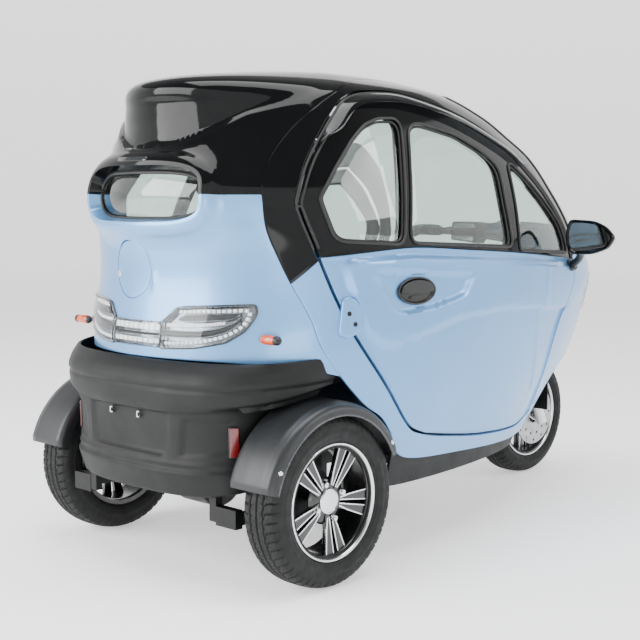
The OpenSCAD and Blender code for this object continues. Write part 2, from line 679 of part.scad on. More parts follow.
module floor_pan() {
  half = body_w / 2;
  edge = [[262, 130 - half], [1000, 171 - half], [1150, 222 - half], [1325, 272 - half]];
  color(grain_grey)
    placed()
      difference() {
        union() {
          translate([0, 0, floor_z])
            linear_extrude(floor_t)
              polygon(concat(edge, [for (q = backward(edge)) [q[0], -q[1]]]));
          block([256, 186 - half, floor_z], [262, half - 186, tail_floor_z + floor_t]);
          block([-240, -300, tail_floor_z], [262, 300, tail_floor_z + floor_t]);
        }
        mast_holes(mast_at(2, floor_z + floor_t / 2), 32);
        stay_holes();
      }
}
stub_end = rear_track / 2 + 32;
gear_case_r = 90;
motor_r = 72;
motor_x = gear_case_r + motor_r + seat_gap;
module rear_axle() {
  color(steel_grey)
    placed()
      translate([0, 0, rear_tyre_r])
        rotate([90, 0, 0]) {
          cylinder(h = rear_track - 180, r = axle_tube_r, center = true);
          cylinder(h = 2 * stub_end, r = rear_stub_r, center = true);
          for (s = [-1, 1])
            translate([0, 0, s * (rear_track / 2 - 68)])
              cylinder(h = 32, r = drum_r, center = true);
          cylinder(h = 130, r = gear_case_r, center = true);
        }
}
module drive_motor() {
  color([0.3, 0.31, 0.33])
    placed()
      translate([motor_x, 150, rear_tyre_r])
        rotate([90, 0, 0])
          cylinder(h = 230, r = motor_r);
}
module battery_pack() {
  color([0.18, 0.18, 0.2])
    placed()
      block([372, -165, floor_z + floor_t + seat_gap], [632, 165, floor_z + 150]);
}
module rear_springs() {
  color(steel_grey)
    placed()
      for (m = [0, 1])
        mirror([0, m, 0]) {
          block([-spring_x - 8, spring_y - 22, spring_top - 26], [spring_x + 8, spring_y + 22, spring_top]);
          for (x = [-spring_x, spring_x])
            block([x - 13, hanger_y + 14 + seat_gap, spring_top - 34], [x + 13, spring_y + 26, spring_top + 20]);
        }
}

seat_base_z = floor_z + 190;
front_seat_x = 540;
front_seat_l = 380;
rear_seat_x = 20;
rear_seat_l = 380;
seat_back_h = 400;
seat_back_t = 80;
pad_r = 30;
module seat_stand() {
  top = seat_base_z + 30;
  low = tail_floor_z + floor_t + seat_gap;
  color(grain_grey)
    placed() {
      block([front_seat_x + 20, -front_seat_w / 2 + 30, floor_z + 156],
        [front_seat_x + front_seat_l - 40, front_seat_w / 2 - 30, seat_base_z]);
      for (x = [front_seat_x + 100, front_seat_x + 300], s = [-1, 1])
        block([x, s * 140 - 15, floor_z + floor_t + seat_gap], [x + 30, s * 140 + 15, floor_z + 156]);
      difference() {
        block([rear_seat_x, -rear_seat_w / 2 + 70, low], [rear_seat_x + rear_seat_l - 40, rear_seat_w / 2 - 70, top]);
        block([rear_seat_x + 15, -rear_seat_w / 2 + 85, low - 1],
          [rear_seat_x + rear_seat_l - 55, rear_seat_w / 2 - 85, top - 15]);
        stay_holes();
      }
    }
}
module front_seat_cushion() {
  color(seat_red)
    placed()
      pad([front_seat_x, -front_seat_w / 2, seat_base_z + seat_gap],
        [front_seat_x + front_seat_l, front_seat_w / 2, seat_base_z + cushion_t], pad_r);
}
// A back rest that leans back against the rear edge of its cushion
module back_rest(x, z, lean, w) {
  translate([x + pad_r * tan(lean) - seat_gap, 0, z])
    rotate([0, -lean, 0])
      pad([-seat_back_t, -w / 2, 0], [0, w / 2, seat_back_h], pad_r);
}
module front_seat_back() {
  color(seat_red)
    placed()
      back_rest(front_seat_x, seat_base_z + seat_gap, 12, front_seat_w);
}
module rear_seat_cushion() {
  color(seat_red)
    placed()
      pad([rear_seat_x, -rear_seat_w / 2, seat_base_z + 30 + seat_gap],
        [rear_seat_x + rear_seat_l, rear_seat_w / 2, seat_base_z + 30 + cushion_t], pad_r);
}
module rear_seat_back() {
  color(seat_red)
    placed()
      back_rest(rear_seat_x, seat_base_z + 30 + seat_gap, 10, rear_seat_w - 160);
}

// Two knuckles carry each door on its upright hinge line, which lies ahead of the door and inside the skin
hinge_at = [wheelbase - 315, 132 - body_w / 2];
HINGE_HEIGHTS = [800, 848];
knuckle_r = 6;
knuckle_h = 18;
hinge_pin_r = 3.5;
module hinge_arms() {
  difference() {
    for (z = HINGE_HEIGHTS) {
      a = [hinge_at[0], hinge_at[1], z];
      translate(a - [0, 0, knuckle_h / 2])
        cylinder(h = knuckle_h, r = knuckle_r);
      hull() {
        bar(a - [0, 0, 6], a + [0, 0, 6], 5);
        bar(a + [-10, 45, -6], a + [-10, 45, 6], 5);
      }
      hull() {
        bar(a + [-10, 45, -6], a + [-10, 45, 6], 5);
        bar(a + [-72, 40, -6], a + [-72, 40, 6], 5);
      }
      block(a + [-78, 0, -7], a + [-66, 42, 7]);
    }
    translate([hinge_at[0], hinge_at[1], HINGE_HEIGHTS[0] - knuckle_h])
      cylinder(h = HINGE_HEIGHTS[1] - HINGE_HEIGHTS[0] + 2 * knuckle_h, r = hinge_pin_r + bore_play);
  }
}
// The fixed brackets and pins behind the cowl's edge
module door_hinges() {
  slot_half = knuckle_h / 2 + 1;
  ear = 7;
  web_x = hinge_at[0] + knuckle_r + 1.5;
  color(steel_grey)
    placed()
      for (m = [0, 1], z = HINGE_HEIGHTS)
        mirror([0, m, 0]) {
          reach = slot_half + ear;
          back_y = max([for (s = [-1, 1]) side(web_x + 4, z + s * reach)[1]]) + 1.06 * panel_t + 3 * seat_gap;
          difference() {
            block([hinge_at[0] - 8, back_y, z - reach], [web_x + 4, hinge_at[1] + 7, z + reach]);
            block([hinge_at[0] - 9, back_y - 1, z - slot_half], [web_x, hinge_at[1] + 8, z + slot_half]);
          }
          translate([hinge_at[0], hinge_at[1], z - slot_half - 1])
            cylinder(h = 2 * slot_half + 2, r = hinge_pin_r);
        }
}
handle_at = [328, 825];
handle_l = 165;
handle_h = 76;
// An upright oval across the door, from one depth to another off the skin
module oval(at, l, h, from, to) {
  p = side(at[0], at[1]);
  translate([at[0], p[1] + from, at[1]])
    rotate([90, 0, 0])
      linear_extrude(from - to)
        polygon([for (a = [0:12:348]) [l / 2 * cos(a), h / 2 * sin(a)]]);
}
module door_panel() {
  grid = patch(curve(door_foot, 12), curve(belt, 12), backward(curve(door_back, 8)), curve(door_nose, 8));
  color(sky_blue)
    placed()
      difference() {
        union() {
          skin_sheet(side_grid(grid), 0, door_t);
          hinge_arms();
        }
        oval(handle_at, handle_l, handle_h, 14, -20);
      }
}
function frame_grid(n, m) = patch(shifted(curve(belt, n), [0, 1]), curve(frame_top, n),
  shifted(curve(frame_back, m), [0, 1]), shifted(curve(frame_nose, m), [0, 1]));
module door_frame() {
  color(gloss_black)
    placed()
      difference() {
        skin_sheet(side_grid(frame_grid(12, 8)), 2, door_t - 4);
        for (p = PANES)
          side_cut(p);
      }
}
module door_glass() {
  color(clear_glass)
    placed()
      for (p = PANES)
        intersection() {
          skin_sheet(side_grid(frame_grid(12, 6)), 14, 14 + glass_t);
          side_cut(inset_outline(p, 0.5));
        }
}
// An outline drawn in a little towards its own middle
function middle(p) = [for (k = [0:1]) sum([for (q = p) q[k]]) / len(p)];
function sum(v, i = 0) = i >= len(v) ? 0 : v[i] + sum(v, i + 1);
function inset_outline(p, d) = let (c = middle(p)) [for (q = p) q + unit(c - q) * d];
module door_handle() {
  color(gloss_black)
    placed()
      oval(handle_at, handle_l - 1, handle_h - 1, 14 - seat_gap, -9);
}
mirror_at = [1180, -618, 962];
module mirror_set() {
  foot = side(1262, 858);
  color(gloss_black)
    placed() {
      bar(sunk(foot, -3 * seat_gap), sunk(foot, -12), 20);
      bar(sunk(foot, -11), mirror_at + [10, 40, -28], 12);
      hull() {
        translate(mirror_at + [-22, 0, 0])
          mirror_slice(95, 62, 6);
        translate(mirror_at + [26, 12, 0])
          mirror_slice(62, 40, 10);
      }
    }
}
// An upright oval plate that faces along the vehicle
module mirror_slice(w, h, t) {
  rotate([90, 0, 90])
    linear_extrude(t)
      polygon([for (a = [0:15:345]) [w * cos(a), h * sin(a)]]);
}
module charge_lid() {
  grid = [for (z = [790, 830, 870, 910, 950, 985]) [for (i = [0:8]) round_at(163 + 24 * i / 8, z)]];
  color(sky_blue)
    placed()
      intersection() {
        skin_sheet(grid, 0, lid_t);
        lid_bore(lid_r);
      }
}

module front_fork() {
  color(steel_grey)
    placed() {
      along_steering() {
        for (s = [-1, 1])
          translate([0, s * fork_half, -30])
            cylinder(h = crown_s + crown_t + 30, r = fork_leg_r);
        translate([-30, -fork_half, crown_s])
          cube([60, 2 * fork_half, crown_t]);
        translate([0, 0, crown_s])
          cylinder(h = bar_s - 22 - crown_s, r = steerer_r);
        translate([0, 0, crown_s + crown_t - 1])
          cylinder(h = head_s - crown_s - crown_t + 1 - 2, r = steerer_r + 6);
        rotate([90, 0, 0])
          cylinder(h = 2 * fork_half, r = front_stub_r, center = true);
      }
    }
}
module handlebar() {
  color(gloss_black)
    placed()
      along_steering() {
        translate([0, 0, bar_s]) {
          rotate([90, 0, 0])
            cylinder(h = 2 * bar_half, r = 11, center = true);
          for (s = [-1, 1])
            rotate([s * 90, 0, 0])
              translate([0, 0, bar_half - 125])
                cylinder(h = 125, r = 17);
          translate([-35, -60, -22 + seat_gap])
            cube([70, 120, 48]);
        }
      }
}
module mudguard_front() {
  r = front_tyre_r + 24;
  half = fork_half - fork_leg_r - seat_gap;
  color(gloss_black)
    placed()
      translate(axle_front)
        rotate([90, -25, 0])
          rotate_extrude(angle = 130, $fn = 72)
            polygon([[r - 26, -half], [r - 10, -half], [r, -half + 14], [r, half - 14], [r - 10, half],
              [r - 26, half], [r - 26, half - guard_t], [r - 12, half - guard_t], [r - guard_t, half - 16],
              [r - guard_t, -half + 16], [r - 12, -half + guard_t], [r - 26, -half + guard_t]]);
}

// Wheels turn about a sideways axle and are drawn round z first
module laid(p) {
  translate(p)
    rotate([90, 0, 0])
      children();
}
flange_t = 6;
module tyre_ring(r, w) {
  h = w / 2;
  side_h = h - 8;
  seat = rim_r - 15;
  bead = side_h - flange_t;
  rotate_extrude($fn = 96)
    polygon([[seat, -bead], [rim_r + 1, -bead], [rim_r + 3, -side_h], [rim_r + 18, -h + 2], [r - 42, -h],
      [r - 20, -h + 4], [r - 7, -h + 14], [r - 1, -h + 30], [r, 0], [r - 1, h - 30], [r - 7, h - 14],
      [r - 20, h - 4], [r - 42, h], [rim_r + 18, h - 2], [rim_r + 3, side_h], [rim_r + 1, bead], [seat, bead]]);
}
module rim_barrel(w) {
  h = w / 2 - 8;
  seat = rim_r - 15 - seat_gap;
  rotate_extrude($fn = 96)
    polygon([[seat - 6, -h], [rim_r, -h], [rim_r, -h + flange_t - seat_gap], [seat, -h + flange_t - seat_gap + 1],
      [seat, h - flange_t + seat_gap - 1], [rim_r, h - flange_t + seat_gap], [rim_r, h], [seat - 6, h]]);
}
SPOKE_TURNS = [0, 72, 144, 216, 288];
module rear_rim() {
  w = rear_tyre_w;
  face = w / 2 - 20;
  inner = rim_r - 20;
  difference() {
    union() {
      rim_barrel(w);
      translate([0, 0, face - 44])
        cylinder(h = 50, r = hub_r);
      for (a = SPOKE_TURNS, s = [-1, 1])
        rotate([0, 0, a + 90])
          translate([0, 0, face - 22])
            linear_extrude(18)
              polygon([[hub_r - 10, s * 4], [inner, s * 10], [inner, s * 34], [hub_r + 24, s * 18],
                [hub_r - 10, s * 22]]);
    }
    translate([0, 0, -w])
      cylinder(h = w + face - 6, r = rear_stub_r + bore_play);
  }
}
module front_rim_shape() {
  w = front_tyre_w;
  inner = rim_r - 20;
  difference() {
    union() {
      rim_barrel(w);
      cylinder(h = 2 * (fork_half - fork_leg_r) - 6, r = hub_r - 8, center = true);
      for (a = SPOKE_TURNS, s = [-1, 1])
        rotate([0, 0, a])
          translate([0, 0, -10])
            linear_extrude(20)
              polygon([[hub_r - 16, s * 3], [inner, s * 10], [inner, s * 26], [hub_r - 12, s * 16]]);
    }
    cylinder(h = 3 * w, r = front_stub_r + bore_play, center = true);
  }
}
module brake_disc() {
  y = -(fork_half - fork_leg_r) + 8;
  color(silver)
    placed()
      laid(axle_front + [0, y, 0])
        difference() {
          cylinder(h = 4, r = disc_r, center = true);
          cylinder(h = 6, r = hub_r - 8 + seat_gap, center = true);
          for (i = [0:11], k = [0, 1])
            rotate([0, 0, 30 * i + 15 * k])
              translate([disc_r - 14 - 26 * k, 0, 0])
                cylinder(h = 6, r = 5, center = true, $fn = 16);
        }
}
rear_axle_at = [0, rear_track / 2, rear_tyre_r];
module rear_tyre_left() {
  color([0.06, 0.06, 0.06])
    placed()
      laid(rear_axle_at)
        tyre_ring(rear_tyre_r, rear_tyre_w);
}
module rear_rim_left() {
  color(gloss_black)
    placed()
      translate(rear_axle_at)
        rotate([-90, 0, 0])
          rear_rim();
}
module front_tyre() {
  color([0.06, 0.06, 0.06])
    placed()
      laid(axle_front)
        tyre_ring(front_tyre_r, front_tyre_w);
}
module front_rim() {
  color(silver)
    placed()
      laid(axle_front)
        front_rim_shape();
}

chassis_frame();
rear_axle();
drive_motor();
battery_pack();
rear_springs();
floor_pan();
sills();
on_left() side_lower();  // side_lower_left
side_lower();  // side_lower_right
on_left() side_upper();  // side_upper_left
side_upper();  // side_upper_right
roof_shell();
rear_shell();
rear_window();
rear_lamps();
turn_signals();
rear_bumper();
reflectors();
on_left() mudguard_rear();  // mudguard_rear_left
mudguard_rear();  // mudguard_rear_right
front_cowl();
windshield();
headlamps();
wheel_arch_liner();
dashboard();
seat_stand();
front_seat_cushion();
front_seat_back();
rear_seat_cushion();
rear_seat_back();
door_hinges();
on_left() door_panel();  // door_panel_left
on_left() door_frame();  // door_frame_left
on_left() door_glass();  // door_glass_left
on_left() door_handle();  // door_handle_left
on_left() mirror_set();  // mirror_left
door_panel();  // door_panel_right
door_frame();  // door_frame_right
door_glass();  // door_glass_right
door_handle();  // door_handle_right
mirror_set();  // mirror_right
charge_lid();
front_fork();
handlebar();
mudguard_front();
front_tyre();
front_rim();
brake_disc();
rear_tyre_left();
rear_rim_left();
on_left() rear_tyre_left();  // rear_tyre_right
on_left() rear_rim_left();  // rear_rim_right
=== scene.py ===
import math

import bmesh
import bpy
import numpy as np
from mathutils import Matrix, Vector


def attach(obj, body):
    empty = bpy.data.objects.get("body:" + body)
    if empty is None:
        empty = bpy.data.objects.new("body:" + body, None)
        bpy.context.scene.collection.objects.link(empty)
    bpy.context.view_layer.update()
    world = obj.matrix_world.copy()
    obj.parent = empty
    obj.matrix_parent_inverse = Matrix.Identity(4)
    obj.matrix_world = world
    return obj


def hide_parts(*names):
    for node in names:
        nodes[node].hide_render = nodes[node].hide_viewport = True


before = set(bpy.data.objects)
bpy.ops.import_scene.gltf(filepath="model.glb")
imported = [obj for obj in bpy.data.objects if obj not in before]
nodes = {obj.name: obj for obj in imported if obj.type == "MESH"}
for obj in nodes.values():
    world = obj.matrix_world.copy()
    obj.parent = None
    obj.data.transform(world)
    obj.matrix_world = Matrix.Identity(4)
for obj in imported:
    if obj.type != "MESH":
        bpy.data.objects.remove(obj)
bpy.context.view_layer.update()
scene = bpy.context.scene
print("frame loaded,", len(nodes), "nodes")

# The camera stands behind and to the right of the tricycle, a little over the belt line
cameraView = {"place": (-3.344, -2.955, 1.111), "ahead": (0.7165, 0.690, -0.0988), "lens": 72.2}
cameraData = bpy.data.cameras.new("photoCamera")
cameraData.lens = cameraView["lens"]
cameraData.clip_end = 200
cameraObject = bpy.data.objects.new("photoCamera", cameraData)
cameraObject.location = cameraView["place"]
cameraObject.rotation_mode = "QUATERNION"
cameraObject.rotation_quaternion = Vector(cameraView["ahead"]).to_track_quat("-Z", "Y")
scene.collection.objects.link(cameraObject)
scene.camera = cameraObject


def linearColour(code):
    parts = [int(code[i:i + 2], 16) / 255 for i in (1, 3, 5)]
    return (*[c / 12.92 if c <= 0.04045 else ((c + 0.055) / 1.055) ** 2.4 for c in parts], 1.0)


def addNode(tree, kind, inputs=None, **settings):
    made = tree.nodes.new(kind)
    for key, value in settings.items():
        setattr(made, key, value)
    for key, value in (inputs or {}).items():
        if isinstance(value, bpy.types.NodeSocket):
            tree.links.new(value, made.inputs[key])
        else:
            made.inputs[key].default_value = value
    return made


def startFinish(name, sockets):
    made = bpy.data.materials.new(name)
    made.use_nodes = True
    shader = made.node_tree.nodes["Principled BSDF"]
    for key, value in sockets.items():
        shader.inputs[key].default_value = value
    where = addNode(made.node_tree, "ShaderNodeTexCoord").outputs["Object"]
    return made, made.node_tree, shader, where


def driftTone(tree, shader, where, tones, size):
    # Two close tones drift into each other over about this many metres
    cloud = addNode(tree, "ShaderNodeTexNoise", {"Vector": where, "Scale": 1 / size, "Detail": 4.0})
    stretch = addNode(tree, "ShaderNodeMapRange", {"Value": cloud.outputs["Fac"], 1: 0.32, 2: 0.68})
    tone = addNode(tree, "ShaderNodeMix", {0: stretch.outputs[0], 6: linearColour(tones[0]),
                                           7: linearColour(tones[1])}, data_type="RGBA")
    tree.links.new(tone.outputs[2], shader.inputs["Base Color"])


def driftGloss(tree, shader, where, rough, size):
    cloud = addNode(tree, "ShaderNodeTexNoise", {"Vector": where, "Scale": 1 / size, "Detail": 5.0})
    spread = addNode(tree, "ShaderNodeMapRange", {"Value": cloud.outputs["Fac"], 1: 0.3, 2: 0.7, 3: rough[0],
                                                  4: rough[1]})
    tree.links.new(spread.outputs[0], shader.inputs["Roughness"])


def texturedSurface(tree, shader, where, size, height, strength):
    # Fine relief, size and height in metres
    grit = addNode(tree, "ShaderNodeTexNoise", {"Vector": where, "Scale": 1 / size, "Detail": 3.0})
    bump = addNode(tree, "ShaderNodeBump", {"Height": grit.outputs["Fac"], "Distance": height,
                                            "Strength": strength})
    tree.links.new(bump.outputs["Normal"], shader.inputs["Normal"])


def plainFinish(name, tones, toneSize, rough, grit, sockets):
    made, tree, shader, where = startFinish(name, sockets)
    driftTone(tree, shader, where, tones, toneSize)
    driftGloss(tree, shader, where, rough, toneSize / 3)
    if grit:
        texturedSurface(tree, shader, where, *grit)
    return made


# Two close tones and the metres between them, roughness from and to, the grain's size, height and strength,
# and the shader's other values
finishRows = {
    # Pearl lacquer sprayed over ABS: a soft silky sheen under a clear coat
    "pearlLacquer": (("#659bd1", "#71a6d9"), 0.9, (0.30, 0.36), (0.0016, 0.00001, 0.25),
                     {"Metallic": 0.55, "Coat Weight": 0.6, "Coat Roughness": 0.08, "IOR": 1.45}),
    # Gloss acrylic over black ABS: dark mirror with a faint unevenness
    "pianoLacquer": (("#050607", "#090a0b"), 0.7, (0.05, 0.10), (0.004, 0.00001, 0.2),
                     {"IOR": 1.42, "Specular IOR Level": 0.3}),
    # Polypropylene moulded against an etched tool: dull grey with a fine grain
    "grainedMoulding": (("#0a0b0b", "#101212"), 0.25, (0.50, 0.62),
                        (0.0014, 0.00012, 0.55), {"Specular IOR Level": 0.3}),
    # Satin moulded guards, smoother and lighter than the bumper
    "satinMoulding": (("#1e2022", "#252729"), 0.3, (0.34, 0.42), (0.0012, 0.00004, 0.4),
                      {"IOR": 1.49, "Metallic": 0.15}),
    # The rolled edge of the guards is a lighter grey than the guards as a painted highlight, and a lower roughness
    # lets it shine more
    "paintedHighlightMoulding": (("#404346", "#4a4d50"), 0.2, (0.24, 0.30), None,
                         {"IOR": 1.49, "Metallic": 0.2}),
    # Powder coat on steel tube: satin black with orange peel
    "powderCoat": (("#070808", "#0c0d0d"), 0.15, (0.38, 0.52), (0.003, 0.00008, 0.5),
                   {"Specular IOR Level": 0.3}),
    # Sand cast aluminium: pale grey and rough
    "castAlloy": (("#6c6f73", "#8a8d90"), 0.08, (0.42, 0.6), (0.0015, 0.00015, 0.6),
                  {"Metallic": 0.9}),
    # Turned aluminium: bright, nearly smooth
    "turnedAlloy": (("#d2d5d8", "#e4e6e8"), 0.05, (0.16, 0.24), (0.0008, 0.00001, 0.4),
                    {"Metallic": 1.0}),
    # Chrome plate on polished steel
    "chromePlate": (("#d9dcde", "#e8eaec"), 0.04, (0.06, 0.12), None, {"Metallic": 1.0}),
    # Black lacquer between the turned faces of the rims
    "rimLacquer": (("#0a0b0c", "#131415"), 0.1, (0.18, 0.28), (0.002, 0.00001, 0.3),
                   {"Coat Weight": 0.4, "Coat Roughness": 0.1}),
    # Extruded EPDM: soft matt black
    "sealRubber": (("#0b0c0c", "#141515"), 0.06, (0.45, 0.6), (0.001, 0.00003, 0.4), {}),
    # Moulded satin black ABS for handles, caps and the dash
    "satinAbs": (("#0c0d0e", "#151617"), 0.2, (0.30, 0.42), (0.0012, 0.00006, 0.4), {}),
    # Ground steel of the brake disc
    "groundSteel": (("#9a9c9e", "#b4b6b8"), 0.02, (0.26, 0.36), (0.0006, 0.00002, 0.5),
                    {"Metallic": 1.0}),
    # Amber dyed polycarbonate of the turn signals
    "amberLens": (("#c23f02", "#d45406"), 0.02, (0.08, 0.14), (0.003, 0.0004, 0.6),
                  {"Coat Weight": 0.8, "Coat Roughness": 0.04, "Subsurface Weight": 0.15}),
    # Red dyed polycarbonate over a prismatic back
    "redReflector": (("#5c0408", "#74080d"), 0.01, (0.12, 0.2), (0.0025, 0.0006, 0.8),
                     {"Coat Weight": 0.9, "Coat Roughness": 0.04}),
    # Opal diffusers over the lamps' diodes
    "opalDiffuser": (("#e4e9ee", "#ffffff"), 0.01, (0.25, 0.35), None,
                     {"Coat Weight": 0.5, "Emission Color": (1, 1, 1, 1), "Emission Strength": 0.7}),
    # Vacuum metallised reflector behind the lamps' lenses
    "metallisedReflector": (("#777d83", "#90969c"), 0.02, (0.14, 0.22),
                            (0.003, 0.0003, 0.5), {"Metallic": 1.0}),
    # Dark smoked polycarbonate
    "smokedLens": (("#15181a", "#22262a"), 0.03, (0.10, 0.16), None,
                   {"Coat Weight": 0.8, "Coat Roughness": 0.04}),
    # Silvered glass of the door mirrors
    "mirrorGlass": (("#c9ced2", "#d5dadd"), 0.2, (0.02, 0.05), None, {"Metallic": 1.0}),
    # Vulcanised carbon black rubber: matt, with a dusty bloom
    "tyreRubber": (("#0b0c0c", "#131414"), 0.06, (0.55, 0.75), (0.0014, 0.00015, 0.5),
                   {"IOR": 1.52, "Specular IOR Level": 0.3}),
}
finish = {name: plainFinish(name, *row) for name, row in finishRows.items()}


def clearFinish(name, tone, rough, ior):
    made, tree, shader, where = startFinish(name, {"Transmission Weight": 1.0, "IOR": ior,
                                                   "Base Color": linearColour(tone)})
    driftGloss(tree, shader, where, rough, 0.05)
    return made


# Toughened float glass with a green body tint, clear moulded polycarbonate and smoked acrylic
for name, tone, rough, ior in (("tintedGlass", "#dcebe5", (0.0, 0.015), 1.5),
                               ("clearCover", "#f2f5f7", (0.0, 0.02), 1.3),
                               ("smokedAcrylic", "#8b9094", (0.02, 0.06), 1.35)):
    finish[name] = clearFinish(name, tone, rough, ior)


def makeLeatherette(name, tones):
    # Embossed PVC leathercloth: cells about 2.5 mm across, soft sheen
    made, tree, shader, where = startFinish(name, {"Sheen Weight": 0.15, "IOR": 1.48})
    driftTone(tree, shader, where, tones, 0.12)
    driftGloss(tree, shader, where, (0.38, 0.5), 0.03)
    cells = addNode(tree, "ShaderNodeTexVoronoi", {"Vector": where, "Scale": 1 / 0.0025}, feature="DISTANCE_TO_EDGE")
    bump = addNode(tree, "ShaderNodeBump", {"Height": cells.outputs["Distance"], "Distance": 0.0004,
                                            "Strength": 0.5})
    tree.links.new(bump.outputs["Normal"], shader.inputs["Normal"])
    return made


finish["redLeatherette"] = makeLeatherette("redLeatherette", ("#6d0e14", "#82151b"))
finish["blackLeatherette"] = makeLeatherette("blackLeatherette", ("#101011", "#191a1b"))
print("finishes made")

# The body's skin, in millimetres from the rear axle and the ground. Columns: height, tail end from the rear
# axle, nose end from the front axle, tuck-in of the half width, fullness of the tail, fullness of the nose
bodyShape = {"wheelBase": 1650.0, "wide": 1132.0, "middle": 300.0, "top": 1488.0, "crown": 2.0, "centre": 776.0}
skinLevels = np.array([
    [250, -262, -130, 61, 2.1, 1.9], [420, -268, 50, 26, 2.1, 1.9], [550, -272, 150, 8, 2.1, 1.95],
    [700, -272, 160, 0, 2.1, 2.2], [840, -245, 110, 4, 2.1, 2.6], [940, -248, 50, 16, 2.1, 2.6],
    [1030, -270, -20, 34, 2.1, 2.6], [1120, -285, -110, 58, 2.1, 2.6], [1230, -235, -230, 94, 2.1, 2.6],
    [1300, -205, -350, 120, 2.1, 2.5], [1360, -200, -480, 148, 2.1, 2.5], [1420, -200, -680, 191, 2.1, 2.5],
    [1450, -120, -800, 256, 2.1, 2.4], [1475, 100, -930, 356, 2.1, 2.2], [1488, 280, -1150, 506, 2.0, 2.0]], float)


def sectionAt(z):
    rows = skinLevels
    heights = rows[:, 0]
    z = np.clip(z, heights[0], bodyShape["top"])
    i = np.clip(np.searchsorted(heights, z, side="right") - 1, 0, len(heights) - 2)
    step = (heights[i + 1] - heights[i])[..., None]
    t = (z - heights[i])[..., None] / step
    before = np.maximum(np.arange(len(heights)) - 1, 0)
    after = np.minimum(np.arange(len(heights)) + 1, len(heights) - 1)
    slope = (rows[after] - rows[before]) / (heights[after] - heights[before])[:, None]
    mixed = ((1 + 2 * t) * (1 - t) ** 2 * rows[i] + t * (1 - t) ** 2 * step * slope[i]
             + t * t * (3 - 2 * t) * rows[i + 1] + t * t * (t - 1) * step * slope[i + 1])
    return mixed[..., 1:]


def outsideSkin(p):
    x, y, z = p[..., 0], p[..., 1], p[..., 2]
    s = sectionAt(z)
    mid = bodyShape["middle"]
    nose = x > mid
    reach = np.where(nose, bodyShape["wheelBase"] + s[..., 1] - mid, mid - s[..., 0])
    full = np.where(nose, s[..., 4], s[..., 3])
    return ((np.abs(x - mid) / reach) ** full + (np.abs(y) / (bodyShape["wide"] / 2 - s[..., 2])) ** full - 1
            + np.maximum(0, z - bodyShape["top"]) / bodyShape["crown"])


def castOut(start, way, far):
    low = np.zeros(start.shape[:-1])
    high = np.full_like(low, far)
    for _ in range(21):
        half = (low + high) / 2
        inside = outsideSkin(start + way * half[..., None]) < 0
        low = np.where(inside, half, low)
        high = np.where(inside, high, half)
    return start + way * low[..., None]


def sideSkin(q):
    # q holds x and z: the right side of the body
    start = np.stack([q[..., 0], 0 * q[..., 0], q[..., 1]], -1)
    return castOut(start, np.broadcast_to([0.0, -1.0, 0.0], start.shape), 700)


def roundSkin(q):
    # q holds a bearing in degrees and a height
    a = np.radians(q[..., 0])
    start = np.stack([0 * a + bodyShape["middle"], 0 * a, q[..., 1]], -1)
    return castOut(start, np.stack([np.cos(a), np.sin(a), 0 * a], -1), 1700)


def tailSkin(q):
    # q holds y and z, looking at the tail
    start = np.stack([0 * q[..., 0] + bodyShape["middle"], q[..., 0], q[..., 1]], -1)
    return castOut(start, np.broadcast_to([-1.0, 0.0, 0.0], start.shape), 900)


def noseSkin(q):
    start = np.stack([0 * q[..., 0] + bodyShape["middle"], q[..., 0], q[..., 1]], -1)
    return castOut(start, np.broadcast_to([1.0, 0.0, 0.0], start.shape), 1700)


def ontoSkin(p):
    start = np.stack([np.clip(p[..., 0], 100, 900), 0 * p[..., 0], np.minimum(p[..., 2], 1000)], -1)
    way = p - start
    return castOut(start, way / np.linalg.norm(way, axis=-1, keepdims=True), 1400)


def sunkIn(p, depth):
    steps = np.eye(3) * 2.0
    slope = np.stack([outsideSkin(p + s) - outsideSkin(p - s) for s in steps], -1)
    way = -slope / np.linalg.norm(slope, axis=-1, keepdims=True)
    return p + way * np.asarray(depth)[..., None]


def bearingOf(q):
    p = sideSkin(np.asarray(q, float))
    return np.stack([np.degrees(np.arctan2(p[..., 1], p[..., 0] - bodyShape["middle"])), p[..., 2]], -1)


def along(points, places):
    # A smooth line through the points, at places from 0 to 1
    p = np.asarray(points, float)
    last = len(p) - 1
    t = np.clip(np.asarray(places, float), 0, 1) * last
    i = np.minimum(np.floor(t).astype(int), last - 1)
    f = (t - i).reshape(t.shape + (1,) * (p.ndim - 1))
    a, b, c, d = p[np.maximum(i - 1, 0)], p[i], p[i + 1], p[np.minimum(i + 2, last)]
    return 0.5 * (2 * b + (c - a) * f + (2 * a - 5 * b + 4 * c - d) * f * f + (3 * b - a - 3 * c + d) * f ** 3)


def drawn(points, count):
    return along(points, np.linspace(0, 1, count))


def ellipse(midA, midB, halfA, halfB, count):
    a = np.linspace(0, 2 * np.pi, count, endpoint=False)
    return np.stack([midA + halfA * np.cos(a), midB + halfB * np.sin(a)], -1)


def filled(low, high, left, right, u, v):
    u, v = u[None, :, None], v[:, None, None]
    low, high, left, right = low[None], high[None], left[:, None], right[:, None]
    corners = ((1 - u) * (1 - v) * low[:, :1] + u * (1 - v) * low[:, -1:]
               + (1 - u) * v * high[:, :1] + u * v * high[:, -1:])
    return (1 - v) * low + v * high + (1 - u) * left + u * right - corners


def smoothStep(t):
    t = np.clip(t, 0, 1)
    return t * t * (3 - 2 * t)


